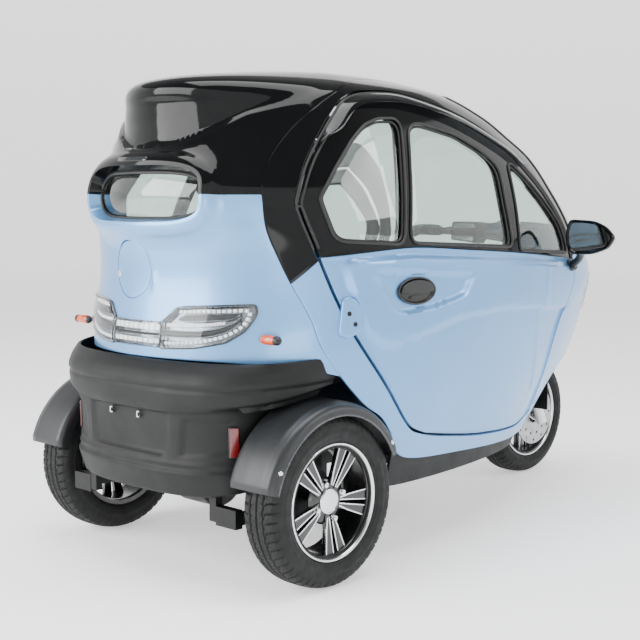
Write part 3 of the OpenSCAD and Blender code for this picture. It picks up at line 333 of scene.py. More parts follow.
def outlineDistance(x, z, outline):
    # Millimetres from a closed outline, below zero inside it
    p = np.asarray(outline, float)
    q = np.roll(p, -1, 0)
    best = np.full(x.shape, 1e9)
    inside = np.zeros(x.shape, bool)
    for (ax, az), (bx, bz) in zip(p, q):
        dx, dz = bx - ax, bz - az
        t = np.clip(((x - ax) * dx + (z - az) * dz) / (dx * dx + dz * dz), 0, 1)
        best = np.minimum(best, np.hypot(x - ax - t * dx, z - az - t * dz))
        crosses = (az > z) != (bz > z)
        with np.errstate(divide="ignore", invalid="ignore"):
            inside ^= crosses & (x < dx * (z - az) / (dz if dz else 1e-9) + ax)
    return np.where(inside, -best, best)


def edgePlaces(count, length, edge=3.0):
    # Even places from 0 to 1, with close ones at both ends where the edge is rounded
    fine = np.array([0, 0.12, 0.35, 0.7, 1.1]) * edge / length
    return np.concatenate([fine, np.linspace(fine[-1], 1 - fine[-1], count)[1:-1], 1 - fine[::-1]])


def edgeDip(u, v, lengths, edge=3.0):
    across = np.minimum(u, 1 - u) * lengths[0]
    up = np.minimum(v, 1 - v) * lengths[1]
    near = np.minimum(across[None, :], up[:, None])
    t = np.clip(1 - near / edge, 0, 1)
    return edge * (1 - np.sqrt(1 - t * t))


def toRow(p):
    return (np.asarray(p, float) - (bodyShape["centre"], 0, 0)) / 1000


def addObject(name, verts, faces, look, body="vehicle", flip=False, sharp=35):
    verts = np.asarray(verts, float).reshape(-1, 3).copy()
    if flip:
        verts[:, 1] *= -1
        faces = [f[::-1] for f in faces]
    mesh = bpy.data.meshes.new(name)
    mesh.from_pydata(toRow(verts).tolist(), [], [list(map(int, f)) for f in faces])
    mesh.materials.append(finish[look])
    mesh.validate()
    mesh.shade_smooth()
    mesh.set_sharp_from_angle(angle=math.radians(sharp))
    made = bpy.data.objects.new(name, mesh)
    scene.collection.objects.link(made)
    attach(made, body)
    return made


def shellFaces(rows, cols):
    k = np.arange(rows * cols).reshape(rows, cols)
    n = rows * cols
    front = np.stack([k[:-1, :-1], k[:-1, 1:], k[1:, 1:], k[1:, :-1]], -1).reshape(-1, 4)
    back = front[:, ::-1] + n
    edges = [np.stack([k[0, 1:], k[0, :-1], k[0, :-1] + n, k[0, 1:] + n], -1),
             np.stack([k[-1, :-1], k[-1, 1:], k[-1, 1:] + n, k[-1, :-1] + n], -1),
             np.stack([k[:-1, 0], k[1:, 0], k[1:, 0] + n, k[:-1, 0] + n], -1),
             np.stack([k[1:, -1], k[:-1, -1], k[:-1, -1] + n, k[1:, -1] + n], -1)]
    return np.concatenate([front, back, *edges])


def shellPiece(name, outer, inner, look, body="vehicle", flip=False):
    faces = shellFaces(*outer.shape[:2])
    return addObject(name, np.concatenate([outer.reshape(-1, 3), inner.reshape(-1, 3)]), faces, look, body, flip)


def discPiece(name, outline, rings, project, outer, inner, look, body="vehicle", flip=False, edge=1.5, relief=None):
    # A closed plate inside an outline, laid on the skin between two depths
    outline = np.asarray(outline, float)
    mid = outline.mean(0)
    size = np.abs(outline - mid).max()
    shares = np.concatenate([np.linspace(0, 1 - edge / size, rings)[1:], 1 - np.array([0.6, 0.25, 0]) * edge / size])
    flat = np.concatenate([[mid], (mid + (outline[None] - mid) * shares[:, None, None]).reshape(-1, 2)])
    dip = np.concatenate([[0], np.repeat(edge * (1 - np.sqrt(1 - np.clip(
        1 - (1 - shares) * size / edge, 0, 1) ** 2)), len(outline))])
    skin = project(flat)
    lift = relief(flat[:, 0], flat[:, 1]) if relief else 0
    top = sunkIn(skin, outer + dip - lift)
    low = sunkIn(skin, np.full(len(skin), float(inner)))
    n, m, r = len(outline), len(skin), len(shares)
    i = np.arange(n)
    j = (i + 1) % n
    faces = [list(f) for f in np.stack([0 * i, 1 + i, 1 + j], -1)]
    for k in range(r - 1):
        a = 1 + k * n
        faces += np.stack([a + i, a + n + i, a + n + j, a + j], -1).tolist()
    under = [[m + q for q in f[::-1]] for f in faces]
    a = 1 + (r - 1) * n
    wall = np.stack([a + j, a + i, m + a + i, m + a + j], -1).tolist()
    made = addObject(name, np.concatenate([top, low]), faces + under + wall, look, body, flip)
    tidyNormals(made)
    return made


def tubePiece(name, points, radius, look, body="vehicle", closed=False, flip=False):
    p = np.asarray(points, float).copy()
    if flip:
        p[:, 1] *= -1
    data = bpy.data.curves.new(name, "CURVE")
    data.dimensions = "3D"
    data.bevel_depth = radius / 1000
    data.bevel_resolution = 3
    data.use_fill_caps = True
    line = data.splines.new("POLY")
    line.points.add(len(p) - 1)
    for k, q in enumerate(toRow(p)):
        line.points[k].co = (*q, 1)
    line.use_cyclic_u = closed
    line.use_smooth = True
    data.materials.append(finish[look])
    made = bpy.data.objects.new(name, data)
    scene.collection.objects.link(made)
    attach(made, body)
    return made


def lathePiece(name, profile, look, body, centre, turns=(0, 360), steps=180, relief=None, way=1):
    # Turns a closed profile of radius and sideways distance about a wheel's axle, in millimetres
    p = np.asarray(profile, float)
    full = abs(turns[1] - turns[0]) >= 360
    a = np.radians(np.linspace(turns[0], turns[1], steps + (0 if full else 1), endpoint=not full))
    radius = np.broadcast_to(p[None, :, 0], (len(a), len(p))).copy()
    if relief:
        radius = radius + relief(a[:, None], p[None, :, 0], p[None, :, 1])
    pts = np.stack([centre[0] + radius * np.cos(a)[:, None],
                    np.broadcast_to(centre[1] + way * p[None, :, 1], radius.shape),
                    centre[2] + radius * np.sin(a)[:, None]], -1)
    rows, cols = pts.shape[:2]
    k = np.arange(rows * cols).reshape(rows, cols)
    nxt = np.roll(k, -1, 0) if full else k[1:]
    cur = k if full else k[:-1]
    faces = np.stack([cur, np.roll(cur, -1, 1), np.roll(nxt, -1, 1), nxt], -1).reshape(-1, 4).tolist()
    if not full:
        faces += [k[0].tolist(), k[-1][::-1].tolist()]
    made = addObject(name, pts, faces, look, body, sharp=40)
    tidyNormals(made)
    return made


def tidyNormals(made):
    b = bmesh.new()
    b.from_mesh(made.data)
    bmesh.ops.recalc_face_normals(b, faces=b.faces)
    b.to_mesh(made.data)
    b.free()


def roundEdges(made, width, segments):
    step = made.modifiers.new("round", "BEVEL")
    step.width, step.segments = width / 1000, segments


def ringFaces(rows, cols):
    # The point numbers of closed rings, and the faces between each two
    k = np.arange(rows * cols).reshape(rows, cols)
    turned = np.roll(k, -1, 1)
    return k, np.stack([k[:-1], turned[:-1], turned[1:], k[1:]], -1).reshape(-1, 4).tolist()


def cutAway(made, cutters):
    for c in cutters:
        step = made.modifiers.new("cut", "BOOLEAN")
        step.object = c
        step.operation = "DIFFERENCE"
        step.solver = "EXACT"
    bpy.context.view_layer.update()
    ready = made.evaluated_get(bpy.context.evaluated_depsgraph_get())
    mesh = bpy.data.meshes.new_from_object(ready)
    made.modifiers.clear()
    made.data = mesh
    for c in cutters:
        bpy.data.objects.remove(c)
    mesh.shade_smooth()
    mesh.set_sharp_from_angle(angle=math.radians(35))


def prismCutter(outline, low, high, axis, flip=False):
    # A closed prism along y (0) or along x (1)
    o = np.asarray(outline, float)
    n = len(o)
    ends = []
    for k in (low, high):
        ends.append(np.stack([o[:, 0], 0 * o[:, 0] + k, o[:, 1]], -1) if axis == 0
                    else np.stack([0 * o[:, 0] + k, o[:, 0], o[:, 1]], -1))
    faces = [list(range(n)), list(range(2 * n - 1, n - 1, -1))]
    faces += [[(i + 1) % n, i, n + i, n + (i + 1) % n] for i in range(n)]
    pts = np.concatenate(ends)
    if flip:
        pts[:, 1] *= -1
    mesh = bpy.data.meshes.new("cutter")
    mesh.from_pydata(toRow(pts).tolist(), [], faces)
    made = bpy.data.objects.new("cutter", mesh)
    scene.collection.objects.link(made)
    tidyNormals(made)
    return made


def boxPiece(name, low, high, look, body, bevel):
    low, high = np.array(low, float), np.array(high, float)
    pts = [[(low, high)[(k >> d) & 1][d] for d in range(3)] for k in range(8)]
    faces = [[0, 2, 3, 1], [4, 5, 7, 6], [0, 1, 5, 4], [2, 6, 7, 3], [0, 4, 6, 2], [1, 3, 7, 5]]
    roundEdges(addObject(name, pts, faces, look, body, sharp=60), bevel, 3)


def roundedOutline(points, count=160, soft=1):
    # Even points along a closed outline, with its corners eased
    p = np.asarray(points, float)
    q = np.concatenate([p, p[:1]])
    reach = np.concatenate([[0], np.cumsum(np.linalg.norm(np.diff(q, axis=0), axis=1))])
    s = np.linspace(0, reach[-1], count, endpoint=False)
    o = np.stack([np.interp(s, reach, q[:, k]) for k in range(q.shape[1])], -1)
    for _ in range(soft):
        o = (np.roll(o, 1, 0) + 2 * o + np.roll(o, -1, 0)) / 4
    return o


# Outlines in side view, from the CAD model: x from the rear axle and height
belt = [[9, 930], [310, 951], [600, 936], [900, 916], [1150, 894], [1290, 880]]
doorBack = [[9, 930], [46, 815], [98, 705], [200, 568], [315, 432], [406, 389]]
doorFoot = [[406, 389], [580, 360], [764, 336], [1030, 319], [1154, 355]]
doorNose = [[1154, 355], [1182, 467], [1212, 639], [1255, 725], [1288, 800], [1290, 880]]
frameBack = [[9, 930], [-28, 1049], [-30, 1102], [30, 1211], [145, 1340]]
frameTop = [[145, 1340], [225, 1386], [360, 1402], [490, 1396], [730, 1348], [970, 1262], [1070, 1195]]
frameNose = [[1290, 880], [1275, 990], [1180, 1110], [1070, 1195]]
panes = [
    [[22, 1096], [90, 1180], [168, 1261], [225, 1303], [290, 1325], [372, 1329], [388, 1310], [290, 975], [270, 964],
     [70, 975], [50, 988]],
    [[418, 1290], [440, 1312], [480, 1320], [655, 1291], [780, 1243], [850, 1203], [862, 1180], [846, 1070],
     [843, 938], [330, 964], [322, 985]],
    [[940, 1200], [968, 1207], [1070, 1145], [1150, 1085], [1231, 1010], [1250, 960], [1252, 905], [890, 925]]]
doorGap, noseGap = 7.5, 11
cowlCorner = [1296 + noseGap, 891]
wheels = {"rear": (0.0, 480.0, 247.0), "front": (1650.0, 0.0, 236.0)}


def shifted(points, dx, dz):
    return [[x + dx, z + dz] for x, z in points]


openBack = shifted(doorBack, -doorGap, -doorGap / 2)
openFoot = shifted(doorFoot, 0, -doorGap)
openNose = shifted(doorNose, noseGap, 0)
guardEdge = [[292 * math.cos(math.radians(a)), 247 + 292 * math.sin(math.radians(a))] for a in (64, 48, 33, 22)]
quarterSeam = [[-63, 858], [-26, 760], [-2, 680], [52, 594]]
sillLine = [[355, 317], [623, 296], [1000, 271], [1149, 281]]
quarterBlack = [[-63, 858], [-88, 935], [-112, 1016], [-118, 1105]]
roofSeam = [[-118, 1105], [-88, 1189], [-7, 1285], [100, 1365], [246, 1432], [420, 1458], [620, 1450], [790, 1415]]
pillarEdge = [[790, 1415], [860, 1392], [1000, 1332], [1130, 1258], [1220, 1182], [1290, 1080], [1338, 985],
              [1365, 905]]
archEdge = [[1160, 286], [1225, 370], [1310, 445], [1430, 500], [1580, 525], [1700, 532]]
sides = (("right", False), ("left", True))


# The rear window and the proud rim that the roof and the tail share
rearWindow = {"halfWide": 270.0, "halfHigh": 73.0, "height": 1105.0, "at": -285.0, "tunnel": 24.0}
rimGrow = [0, 5, 12, 22, 34, 48, 64, 84]
rimProud = [22.5, 25.5, 27, 25.5, 20, 11, 4, 0]


def windowRim(grow, up, count=10):
    a = np.radians(180 * np.arange(count + 1) / count)
    y = (rearWindow["halfWide"] + grow) * np.sign(np.cos(a)) * np.abs(np.cos(a)) ** 0.55
    z = (rearWindow["halfHigh"] + grow) * np.abs(np.sin(a)) ** 0.6
    bearing = 180 - np.degrees(np.arctan2(y, bodyShape["middle"] - rearWindow["at"]))
    return np.stack([bearing, rearWindow["height"] + (z if up else -z)], -1)


def windowGrow(skin):
    # How far outside the window's outline a point of the skin lies
    reach = bodyShape["middle"] - rearWindow["at"]
    y = np.abs(skin[..., 1]) * reach / np.maximum(bodyShape["middle"] - skin[..., 0], 1)
    z = np.abs(skin[..., 2] - rearWindow["height"])
    low, high = np.zeros(y.shape), np.full(y.shape, 500.0)
    for _ in range(16):
        half = (low + high) / 2
        out = (y / (rearWindow["halfWide"] + half)) ** 3.64 + (z / (rearWindow["halfHigh"] + half)) ** 3.33 > 1
        low, high = np.where(out, half, low), np.where(out, high, half)
    return np.where(skin[..., 0] < 60, low, 500.0)


def rimLift(skin):
    return np.interp(windowGrow(skin), rimGrow, rimProud)


def wallDepth(skin):
    # The wall is thicker round the window, where it forms the tunnel down to the pane
    return np.interp(windowGrow(skin), [0, 3, 14, 40], [rearWindow["tunnel"], 20, 14, 12])


# The hood: a crease runs from the middle of the tail out and up over each shoulder
hoodCrease = {"turn": [0, 8, 20, 36, 58, 81, 104, 125], "height": [1236, 1241, 1275, 1336, 1388, 1448, 1478, 1489],
              "depth": 13.0, "width": 9.0, "spread": 62.0}


def hoodSink(skin):
    turn = np.abs(180 - np.degrees(np.arctan2(np.abs(skin[..., 1]), skin[..., 0] - bodyShape["middle"])))
    over = skin[..., 2] - np.interp(turn, hoodCrease["turn"], hoodCrease["height"])
    fade = smoothStep((92 - turn) / 60) * smoothStep((520 - skin[..., 0]) / 260)
    width = np.interp(turn, [0, 30, 80], [hoodCrease["width"], 2 * hoodCrease["width"], 5 * hoodCrease["width"]])
    return hoodCrease["depth"] * smoothStep(over / width + 0.5) * np.exp(
        -np.maximum(over, 0) / hoodCrease["spread"]) * fade


def makeRoof():
    seam = bearingOf([-118, 1105])
    left, right = np.array([-seam[0], 1105]), np.array([360 + seam[0], 1105])
    rows = []
    for grow in (0, 26, 60):
        rim = windowRim(grow, True)
        rows.append(roundSkin(np.concatenate([[left, (left + rim[0]) / 2], rim, [(right + rim[-1]) / 2, right]])))
    s = np.linspace(-1, 1, len(rows[0]))
    for x, z, zMid in ((-108, 1140, 1225), (-88, 1189, 1262), (-50, 1240, 1310), (-7, 1285, 1370), (40, 1322, 1412)):
        a = 360 + bearingOf([x, z])[0]
        rows.append(roundSkin(np.stack([180 + (a - 180) * s, zMid + (z - zMid) * np.abs(s) ** 1.8], -1)))
    for x, z, xMid in ((100, 1365, -60), (170, 1402, 60), (246, 1432, 190), (360, 1453, 330), (480, 1458, 480),
                       (620, 1450, 640), (710, 1437, 770), (790, 1415, 880)):
        e = sideSkin(np.array([x, z], float))
        rows.append(ontoSkin(np.stack([xMid + (e[0] - xMid) * s * s, e[1] * s, 1200 + (e[2] - 1200) * (2 - s * s)],
                                      -1)))
    base = np.stack(rows)
    v = np.concatenate([np.linspace(0, 2 / 15, 18), np.linspace(2 / 15, 1, 84)[1:-1],
                        1 - np.array([6, 3, 1, 0]) / 1500])
    u = edgePlaces(108, 1500)
    skin = np.moveaxis(along(np.moveaxis(along(base, v), 1, 0), u), 0, 1)
    skin[..., 2] = np.maximum(skin[..., 2], rearWindow["height"])
    skin = ontoSkin(skin)
    dip = edgeDip(u, np.full(len(v), 0.5), (1500, 1000))
    outer = sunkIn(skin, dip - rimLift(skin) + hoodSink(skin))
    roof = shellPiece("roofPanel", outer, sunkIn(skin, wallDepth(skin) + hoodSink(skin)), "pianoLacquer")
    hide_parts("roof_shell")


lampWing = [[-106, 745], [-125, 760], [-147, 783], [-180, 789], [-365, 800], [-369, 772], [-347, 727], [-304, 695],
            [-222, 677], [-106, 670]]
lampOutline = lampWing + [[-y, z] for y, z in lampWing[::-1]]
chargeLid = {"y": 45.0, "z": 888.0, "radius": 84.0, "seam": 1.6, "cup": 92.0, "arch": 99.0}


def lidCircle(radius):
    return ellipse(chargeLid["y"], chargeLid["z"], radius, radius, 96)


def makeTail():
    line = [[-118, 1105]] + quarterBlack[2::-1] + quarterSeam[1:]
    k = 6
    seam = bearingOf(along(line, np.linspace(0, 1, 9 * k + 1)))
    seam[:, 0] += 360
    corner = seam[-1, 0]
    s = np.linspace(-1, 1, 10 * k + 1)[1:-1]
    foot = np.stack([180 + (corner - 180) * s, 640 - 46 * np.abs(s) ** 4], -1)
    outer = np.concatenate([np.stack([360 - seam[:, 0], seam[:, 1]], -1), foot, seam[::-1]])
    places = np.linspace(0, 1, len(outer))
    far = along(windowRim(60, False), places)
    v = np.concatenate([np.array([0, 0.3, 0.9, 2.0, 3.5]) / 330, np.linspace(0.02, 1, 50)])
    q = [outer * (1 - t) + far * t for t in v] + [along(windowRim(g, False), places) for g in
                                                 (54, 48, 42, 36, 30, 26, 22, 18, 14, 10, 7, 4, 2, 0)]
    skin = roundSkin(np.stack(q))
    up = np.arange(len(q))[:, None] * np.ones(len(outer))
    nearFoot = np.clip(1 - v[np.minimum(up, 4).astype(int)] * 330 / 3, 0, 1)
    dip = np.where(up < 5, 3 * (1 - np.sqrt(1 - nearFoot ** 2)), 0)
    y, z = skin[..., 1], skin[..., 2]
    # A soft ridge arches over the charging lid and runs down on its right
    r = np.hypot(y - chargeLid["y"], z - chargeLid["z"])
    bend = np.degrees(np.arctan2(z - chargeLid["z"], -(y - chargeLid["y"])))
    arch = np.exp(-((r - chargeLid["arch"]) / 5.5) ** 2) * smoothStep((bend + 12) / 25) * smoothStep((118 - bend) / 40)
    stem = np.exp(-((y - chargeLid["y"] + chargeLid["arch"]) / 5.5) ** 2)
    stem = stem * smoothStep((chargeLid["z"] + 8 - z) / 16) * smoothStep((z - 800) / 60)
    lift = rimLift(skin) + 5.0 * np.maximum(arch, stem)
    made = shellPiece("tailPanel", sunkIn(skin, dip - lift), sunkIn(skin, wallDepth(skin)), "pearlLacquer")
    bore = lidCircle(chargeLid["radius"] + chargeLid["seam"])
    cutAway(made, [prismCutter(bore, -400, -100, 1), prismCutter(roundedOutline(lampOutline, 200, 1), -500, 60, 1)])
    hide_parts("rear_shell")


def makeChargeLid():
    lid = discPiece("chargeLidPlate", lidCircle(chargeLid["radius"]), 14, tailSkin, -0.4, 6.5, "pearlLacquer",
                    "charge_cover", edge=2.0)
    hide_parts("charge_lid")
    # The lock's button on the left, and the socket's cup behind the lid
    discPiece("lidLock", ellipse(119, 872, 8.5, 11, 24), 5, tailSkin, -3.6, 1, "chromePlate", "charge_cover", edge=2.2)

    def cupRelief(y, z):
        r = np.hypot(y - chargeLid["y"], z - chargeLid["z"])
        return 17 * smoothStep((r - 60) / 14) + 12 * smoothStep((34 - r) / 4)

    discPiece("chargeCup", lidCircle(chargeLid["cup"]), 8, tailSkin, 30, 34, "satinAbs", relief=cupRelief)


def makeQuarters():
    lower = quarterSeam + guardEdge + sillLine
    lowerIn = [[3, 921]] + openBack[1:6] + openFoot[1:4] + [[1152, 344]]
    upper = quarterBlack + roofSeam[1:] + pillarEdge[1:]
    head = shifted(frameTop, 0, doorGap + 8)
    nose = shifted(frameNose, doorGap + 8, doorGap + 2)
    upperIn = ([[2, 921], [-37, 1049], [-39, 1104], [22, 1218], [137, 1350]] + head[1:6]
               + [[1080, 1205], nose[2], nose[1], shifted([cowlCorner], -4, 2)[0]])
    u = edgePlaces(140, 2000)
    v = edgePlaces(15, 90)
    for name, far, near, look, node in (("quarterPanel", lower, lowerIn, "pearlLacquer", "side_lower_"),
                                        ("upperQuarter", upper, upperIn, "pianoLacquer", "side_upper_")):
        a, b = along(far, u), along(near, u)
        t = v[:, None, None]
        flat = a[None] * (1 - t) + b[None] * t if node == "side_lower_" else b[None] * (1 - t) + a[None] * t
        skin = sideSkin(flat)
        dip = edgeDip(u, v, (2000, 90))
        lift = 0
        if node == "side_lower_":
            # A second seam crosses the blue band
            p, q = np.array([-26.0, 760.0]), np.array([37.0, 815.0])
            away = np.abs((flat[..., 0] - p[0]) * (q - p)[1] - (flat[..., 1] - p[1]) * (q - p)[0]) / np.hypot(*(q - p))
            lift = -1.2 * np.exp(-(away / 1.8) ** 2)
        outer = sunkIn(skin, dip - lift)
        inner = sunkIn(skin, 12.0)
        for side, flip in sides:
            made = shellPiece(f"{name}_{side}", outer, inner, look, flip=flip)
            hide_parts(node + side)


doorRelief = {
    "field": [[76, 903], [82, 868], [96, 815], [114, 757], [138, 711], [170, 683], [212, 672], [298, 685], [530, 733],
              [803, 745], [1040, 728], [1277, 709], [1500, 760], [1500, 846], [1280, 854], [1150, 868], [900, 890],
              [600, 910], [310, 925], [96, 922], [82, 916]],
    "pocket": [[150, 899], [615, 869], [560, 796], [500, 783], [400, 766], [280, 757], [235, 764], [207, 790]],
    "handle": (328, 825), "handleSize": (165, 76)}


def doorLift(x, z):
    lift = 11.0 * smoothStep(0.5 - outlineDistance(x, z, doorRelief["field"]) / 15) - 4.0
    # The pocket round the handle is cut sharply at its top and runs out softly below
    pocket = -outlineDistance(x, z, doorRelief["pocket"])
    lift -= 13.0 * smoothStep(pocket / 17)
    # A light crease runs down near the front edge
    front = np.interp(z, [400, 560, 714, 740, 890], [1100, 1066, 1032, 1056, 1062])
    lift += 4.0 * np.exp(-((x - front) / 9) ** 2) * smoothStep((880 - z) / 30) * smoothStep((z - 400) / 60)
    lift -= 1.6 * smoothStep((x - front) / 26) * smoothStep((880 - z) / 60)
    # Below the swage the skin swells out again towards the sill
    lift += 2.0 * np.exp(-((z - 470) / 90) ** 2)
    return lift


def makeDoors():
    u, v = edgePlaces(104, 1200, 4), edgePlaces(68, 500, 4)
    flat = filled(along(doorFoot, u), along(belt, u), along(doorBack[::-1], v), along(doorNose, v), u, v)
    skin = sideSkin(flat)
    lift = doorLift(flat[..., 0], flat[..., 1]) * smoothStep(
        np.minimum(np.minimum(u, 1 - u)[None, :] * 1200, np.minimum(v, 1 - v)[:, None] * 500) / 18)
    outer = sunkIn(skin, edgeDip(u, v, (1200, 500), 5) - lift)
    inner = sunkIn(skin, 42.0)
    fu, fv = edgePlaces(92, 1200, 3), edgePlaces(44, 450, 3)
    framed = filled(along(shifted(belt, 0, 1), fu), along(frameTop, fu), along(shifted(frameBack, 0, 1), fv),
                    along(shifted(frameNose, 0, 1), fv), fu, fv)
    frameSkin = sideSkin(framed)
    frameOuter = sunkIn(frameSkin, 2 + edgeDip(fu, fv, (1200, 450), 3))
    frameInner = sunkIn(frameSkin, 38.0)
    hw, hh = doorRelief["handleSize"]
    oval = ellipse(*doorRelief["handle"], hw / 2 - 0.5, hh / 2 - 0.5, 60)
    for side, flip in sides:
        body = "door_" + side
        panel = shellPiece("doorSkin_" + side, outer, inner, "pearlLacquer", body, flip)
        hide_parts("door_panel_" + side)
        sash = shellPiece("doorSash_" + side, frameOuter, frameInner, "pianoLacquer", body, flip)
        cutAway(sash, [prismCutter(roundedOutline(p, 96, 2), -700, -200, 0, flip) for p in panes])
        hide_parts("door_frame_" + side)
        for k, p in enumerate(panes):
            edge = roundedOutline(p, 96, 2)
            mid = edge.mean(0)
            inset = mid + (edge - mid) * (1 - 0.5 / np.abs(edge - mid).max())
            pane = discPiece(f"pane{k}_{side}", inset, 5, sideSkin, 11, 15, "tintedGlass", body, flip, 0.4)
            if k == 0:
                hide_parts("door_glass_" + side)
            # Glazing rubber and the bright bead around each pane
            ring = sideSkin(mid + (edge - mid) * (1 + 3.0 / np.abs(edge - mid).max()))
            tubePiece(f"paneRubber{k}_{side}", sunkIn(ring, 0.5), 4.6, "sealRubber", body, True, flip)
            lipLine = sideSkin(mid + (edge - mid) * (1 - 5.0 / np.abs(edge - mid).max()))
            tubePiece(f"paneLip{k}_{side}", sunkIn(lipLine, 8.5), 4.0, "sealRubber", body, True, flip)
        makeHandle(side, flip, body, oval)
        makeHinges(side, flip, body)


def makeHandle(side, flip, body, oval):
    hx, hz = doorRelief["handle"]
    cup = discPiece("handleCup_" + side, oval, 16, sideSkin, 4.8, 13.5, "satinAbs", body, flip, 2.0,
                    relief=lambda x, z: 6.5 * smoothStep((np.hypot((x - hx) / 82, (z - hz) / 38) - 0.84) / 0.12))
    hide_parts("door_handle_" + side)
    # The paddle fills the upper half of the cup, with a finger slot and a small grip under it
    a = np.radians(np.linspace(0, 180, 25))
    paddle = np.concatenate([np.stack([hx + 72 * np.cos(a), hz + 1 + 31 * np.sin(a)], -1),
                             [[hx - 72, hz - 3], [hx - 30, hz - 6], [hx + 30, hz - 6], [hx + 72, hz - 3]]])
    discPiece("handlePaddle_" + side, paddle, 8, sideSkin, -4.0, 6.0, "satinAbs", body, flip, 4.5)
    grip = ellipse(hx + 4, hz - 19, 40, 6, 30)
    discPiece("handleGrip_" + side, grip, 5, sideSkin, 0.5, 6.0, "satinAbs", body, flip, 2.5)
    ring = ellipse(hx, hz, 82, 38, 60)
    tubePiece("handleRim_" + side, sunkIn(sideSkin(ring), 1.0), 3.2, "satinAbs", body, True, flip)


def makeHinges(side, flip, body):
    # Two bent steel arms a side swing the door round the cowl's edge
    for k, z in enumerate((800, 848)):
        path = [(1335, -434, z), (1325, -389, z), (1263, -394, z), (1263, -432, z)]
        tubePiece(f"hingeArm{k}_{side}", drawn(path, 24), 5.5, "powderCoat", body, False,
                  flip)
        tubePiece(f"hingeEye{k}_{side}", [(1335, -434, z - 8.5), (1335, -434, z + 8.5)], 6.4, "powderCoat", body,
                  False, flip)


def makeCowl():
    foot = [list(bearingOf(q)) for q in archEdge + [[1760, 536]]]
    top = [list(bearingOf(q)) for q in (cowlCorner, [1365, 905], [1460, 930], [1560, 955], [1630, 972])]
    footLine = foot + [[0, 538]] + [[-a, z] for a, z in foot[::-1]]
    topLine = top + [[0, 985]] + [[-a, z] for a, z in top[::-1]]
    u, v = edgePlaces(130, 1500), edgePlaces(60, 500)
    edge = bearingOf(along([[1160, 286]] + openNose + [cowlCorner], v))
    flat = filled(along(footLine, u), along(topLine, u), edge, edge * (-1, 1), u, v)
    skin = roundSkin(flat)
    x, y, z = skin[..., 0], np.abs(skin[..., 1]), skin[..., 2]
    swage = np.interp(x, [1277, 1451, 1700, 1800], [709, 748, 800, 840])
    lift = 4.0 * smoothStep((z - swage) / 13 + 0.5) * smoothStep((y - 150) / 80) - 1.5
    grille = outlineDistance(y, z, [[-10, 660], [120, 660], [150, 690], [110, 705], [-10, 705]])
    lift -= 7 * smoothStep(-grille / 7)
    lift += 3 * np.exp(-((y - 205) / 14) ** 2) * smoothStep((z - 690) / 60)
    lift = lift * smoothStep(
        np.minimum(np.minimum(u, 1 - u)[None, :] * 1500, np.minimum(v, 1 - v)[:, None] * 500) / 22)
    outer = sunkIn(skin, edgeDip(u, v, (1500, 500)) - lift)
    made = shellPiece("cowlPanel", outer, sunkIn(skin, 14.0), "pearlLacquer")
    lamp = [[320, 678], [240, 655], [200, 685], [212, 745], [262, 800], [345, 820], [350, 740]]
    lampEdges = [roundedOutline([[s * a, b] for a, b in lamp], 72, 2) for s in (-1, 1)]
    cutAway(made, [prismCutter(edge, 1200, 2000, 1) for edge in lampEdges])
    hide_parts("front_cowl")
    for k, (side, s) in enumerate((("right", -1), ("left", 1))):
        mid = lampEdges[k].mean(0)
        inset = mid + (lampEdges[k] - mid) * 0.985
        cover = discPiece("headLens_" + side, inset, 10, noseSkin, -4, -1.5, "clearCover")
        if k == 0:
            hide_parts("headlamps")
        discPiece("headBucket_" + side, inset, 10, noseSkin, 26, 30, "metallisedReflector")
        for n, (out, up, r) in enumerate(((288, 740, 36), (240, 700, 22))):
            ring = ellipse(s * out, up, r, r, 36)
            discPiece(f"headProjector{n}_{side}", ring, 8, noseSkin, 8, 24, "opalDiffuser", edge=6)
            tubePiece(f"headBezel{n}_{side}", sunkIn(noseSkin(ring), 8), 3.5, "satinAbs", closed=True)


def makeScreens():
    rows = [(1367, 909, 989), (1338, 987, 1062), (1290, 1082, 1150), (1218, 1184, 1228), (1128, 1260, 1296),
            (1000, 1334, 1362), (862, 1393, 1415), (796, 1418, 1441)]
    s = np.linspace(-1, 1, 13)
    base = []
    for x, z, zMid in rows:
        e = bearingOf([x, z])
        base.append(np.stack([-e[0] * s, zMid + (z - zMid) * s * s], -1))
    v, u = np.linspace(0, 1, 40), np.linspace(0, 1, 56)
    flat = np.moveaxis(along(np.moveaxis(along(np.stack(base), v), 1, 0), u), 0, 1)
    skin = roundSkin(flat)
    screen = shellPiece("screenGlass", sunkIn(skin, 2.0), sunkIn(skin, 6.0), "tintedGlass")
    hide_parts("windshield")
    ring = np.concatenate([skin[0], skin[:, -1], skin[-1, ::-1], skin[::-1, 0]])
    tubePiece("screenRubber", sunkIn(ring, 1.0), 5.5, "sealRubber", closed=True)
    # Rear window: the same tunnel as the CAD model's, with its pane at the bottom
    top, low = windowRim(8, True, 40), windowRim(8, False, 40)
    t = np.linspace(0, 1, 24)[:, None, None]
    paneSkin = roundSkin(low[None] * (1 - t) + top[None] * t)
    pane = shellPiece("rearPane", sunkIn(paneSkin, rearWindow["tunnel"] - 4), sunkIn(paneSkin, rearWindow["tunnel"]),
                      "tintedGlass")
    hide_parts("rear_window")
    loop = np.concatenate([windowRim(-1.5, True, 60), windowRim(-1.5, False, 60)[::-1]])
    tubePiece("rearPaneRubber", sunkIn(roundSkin(loop), rearWindow["tunnel"] - 7), 5, "sealRubber", "vehicle",
              True)


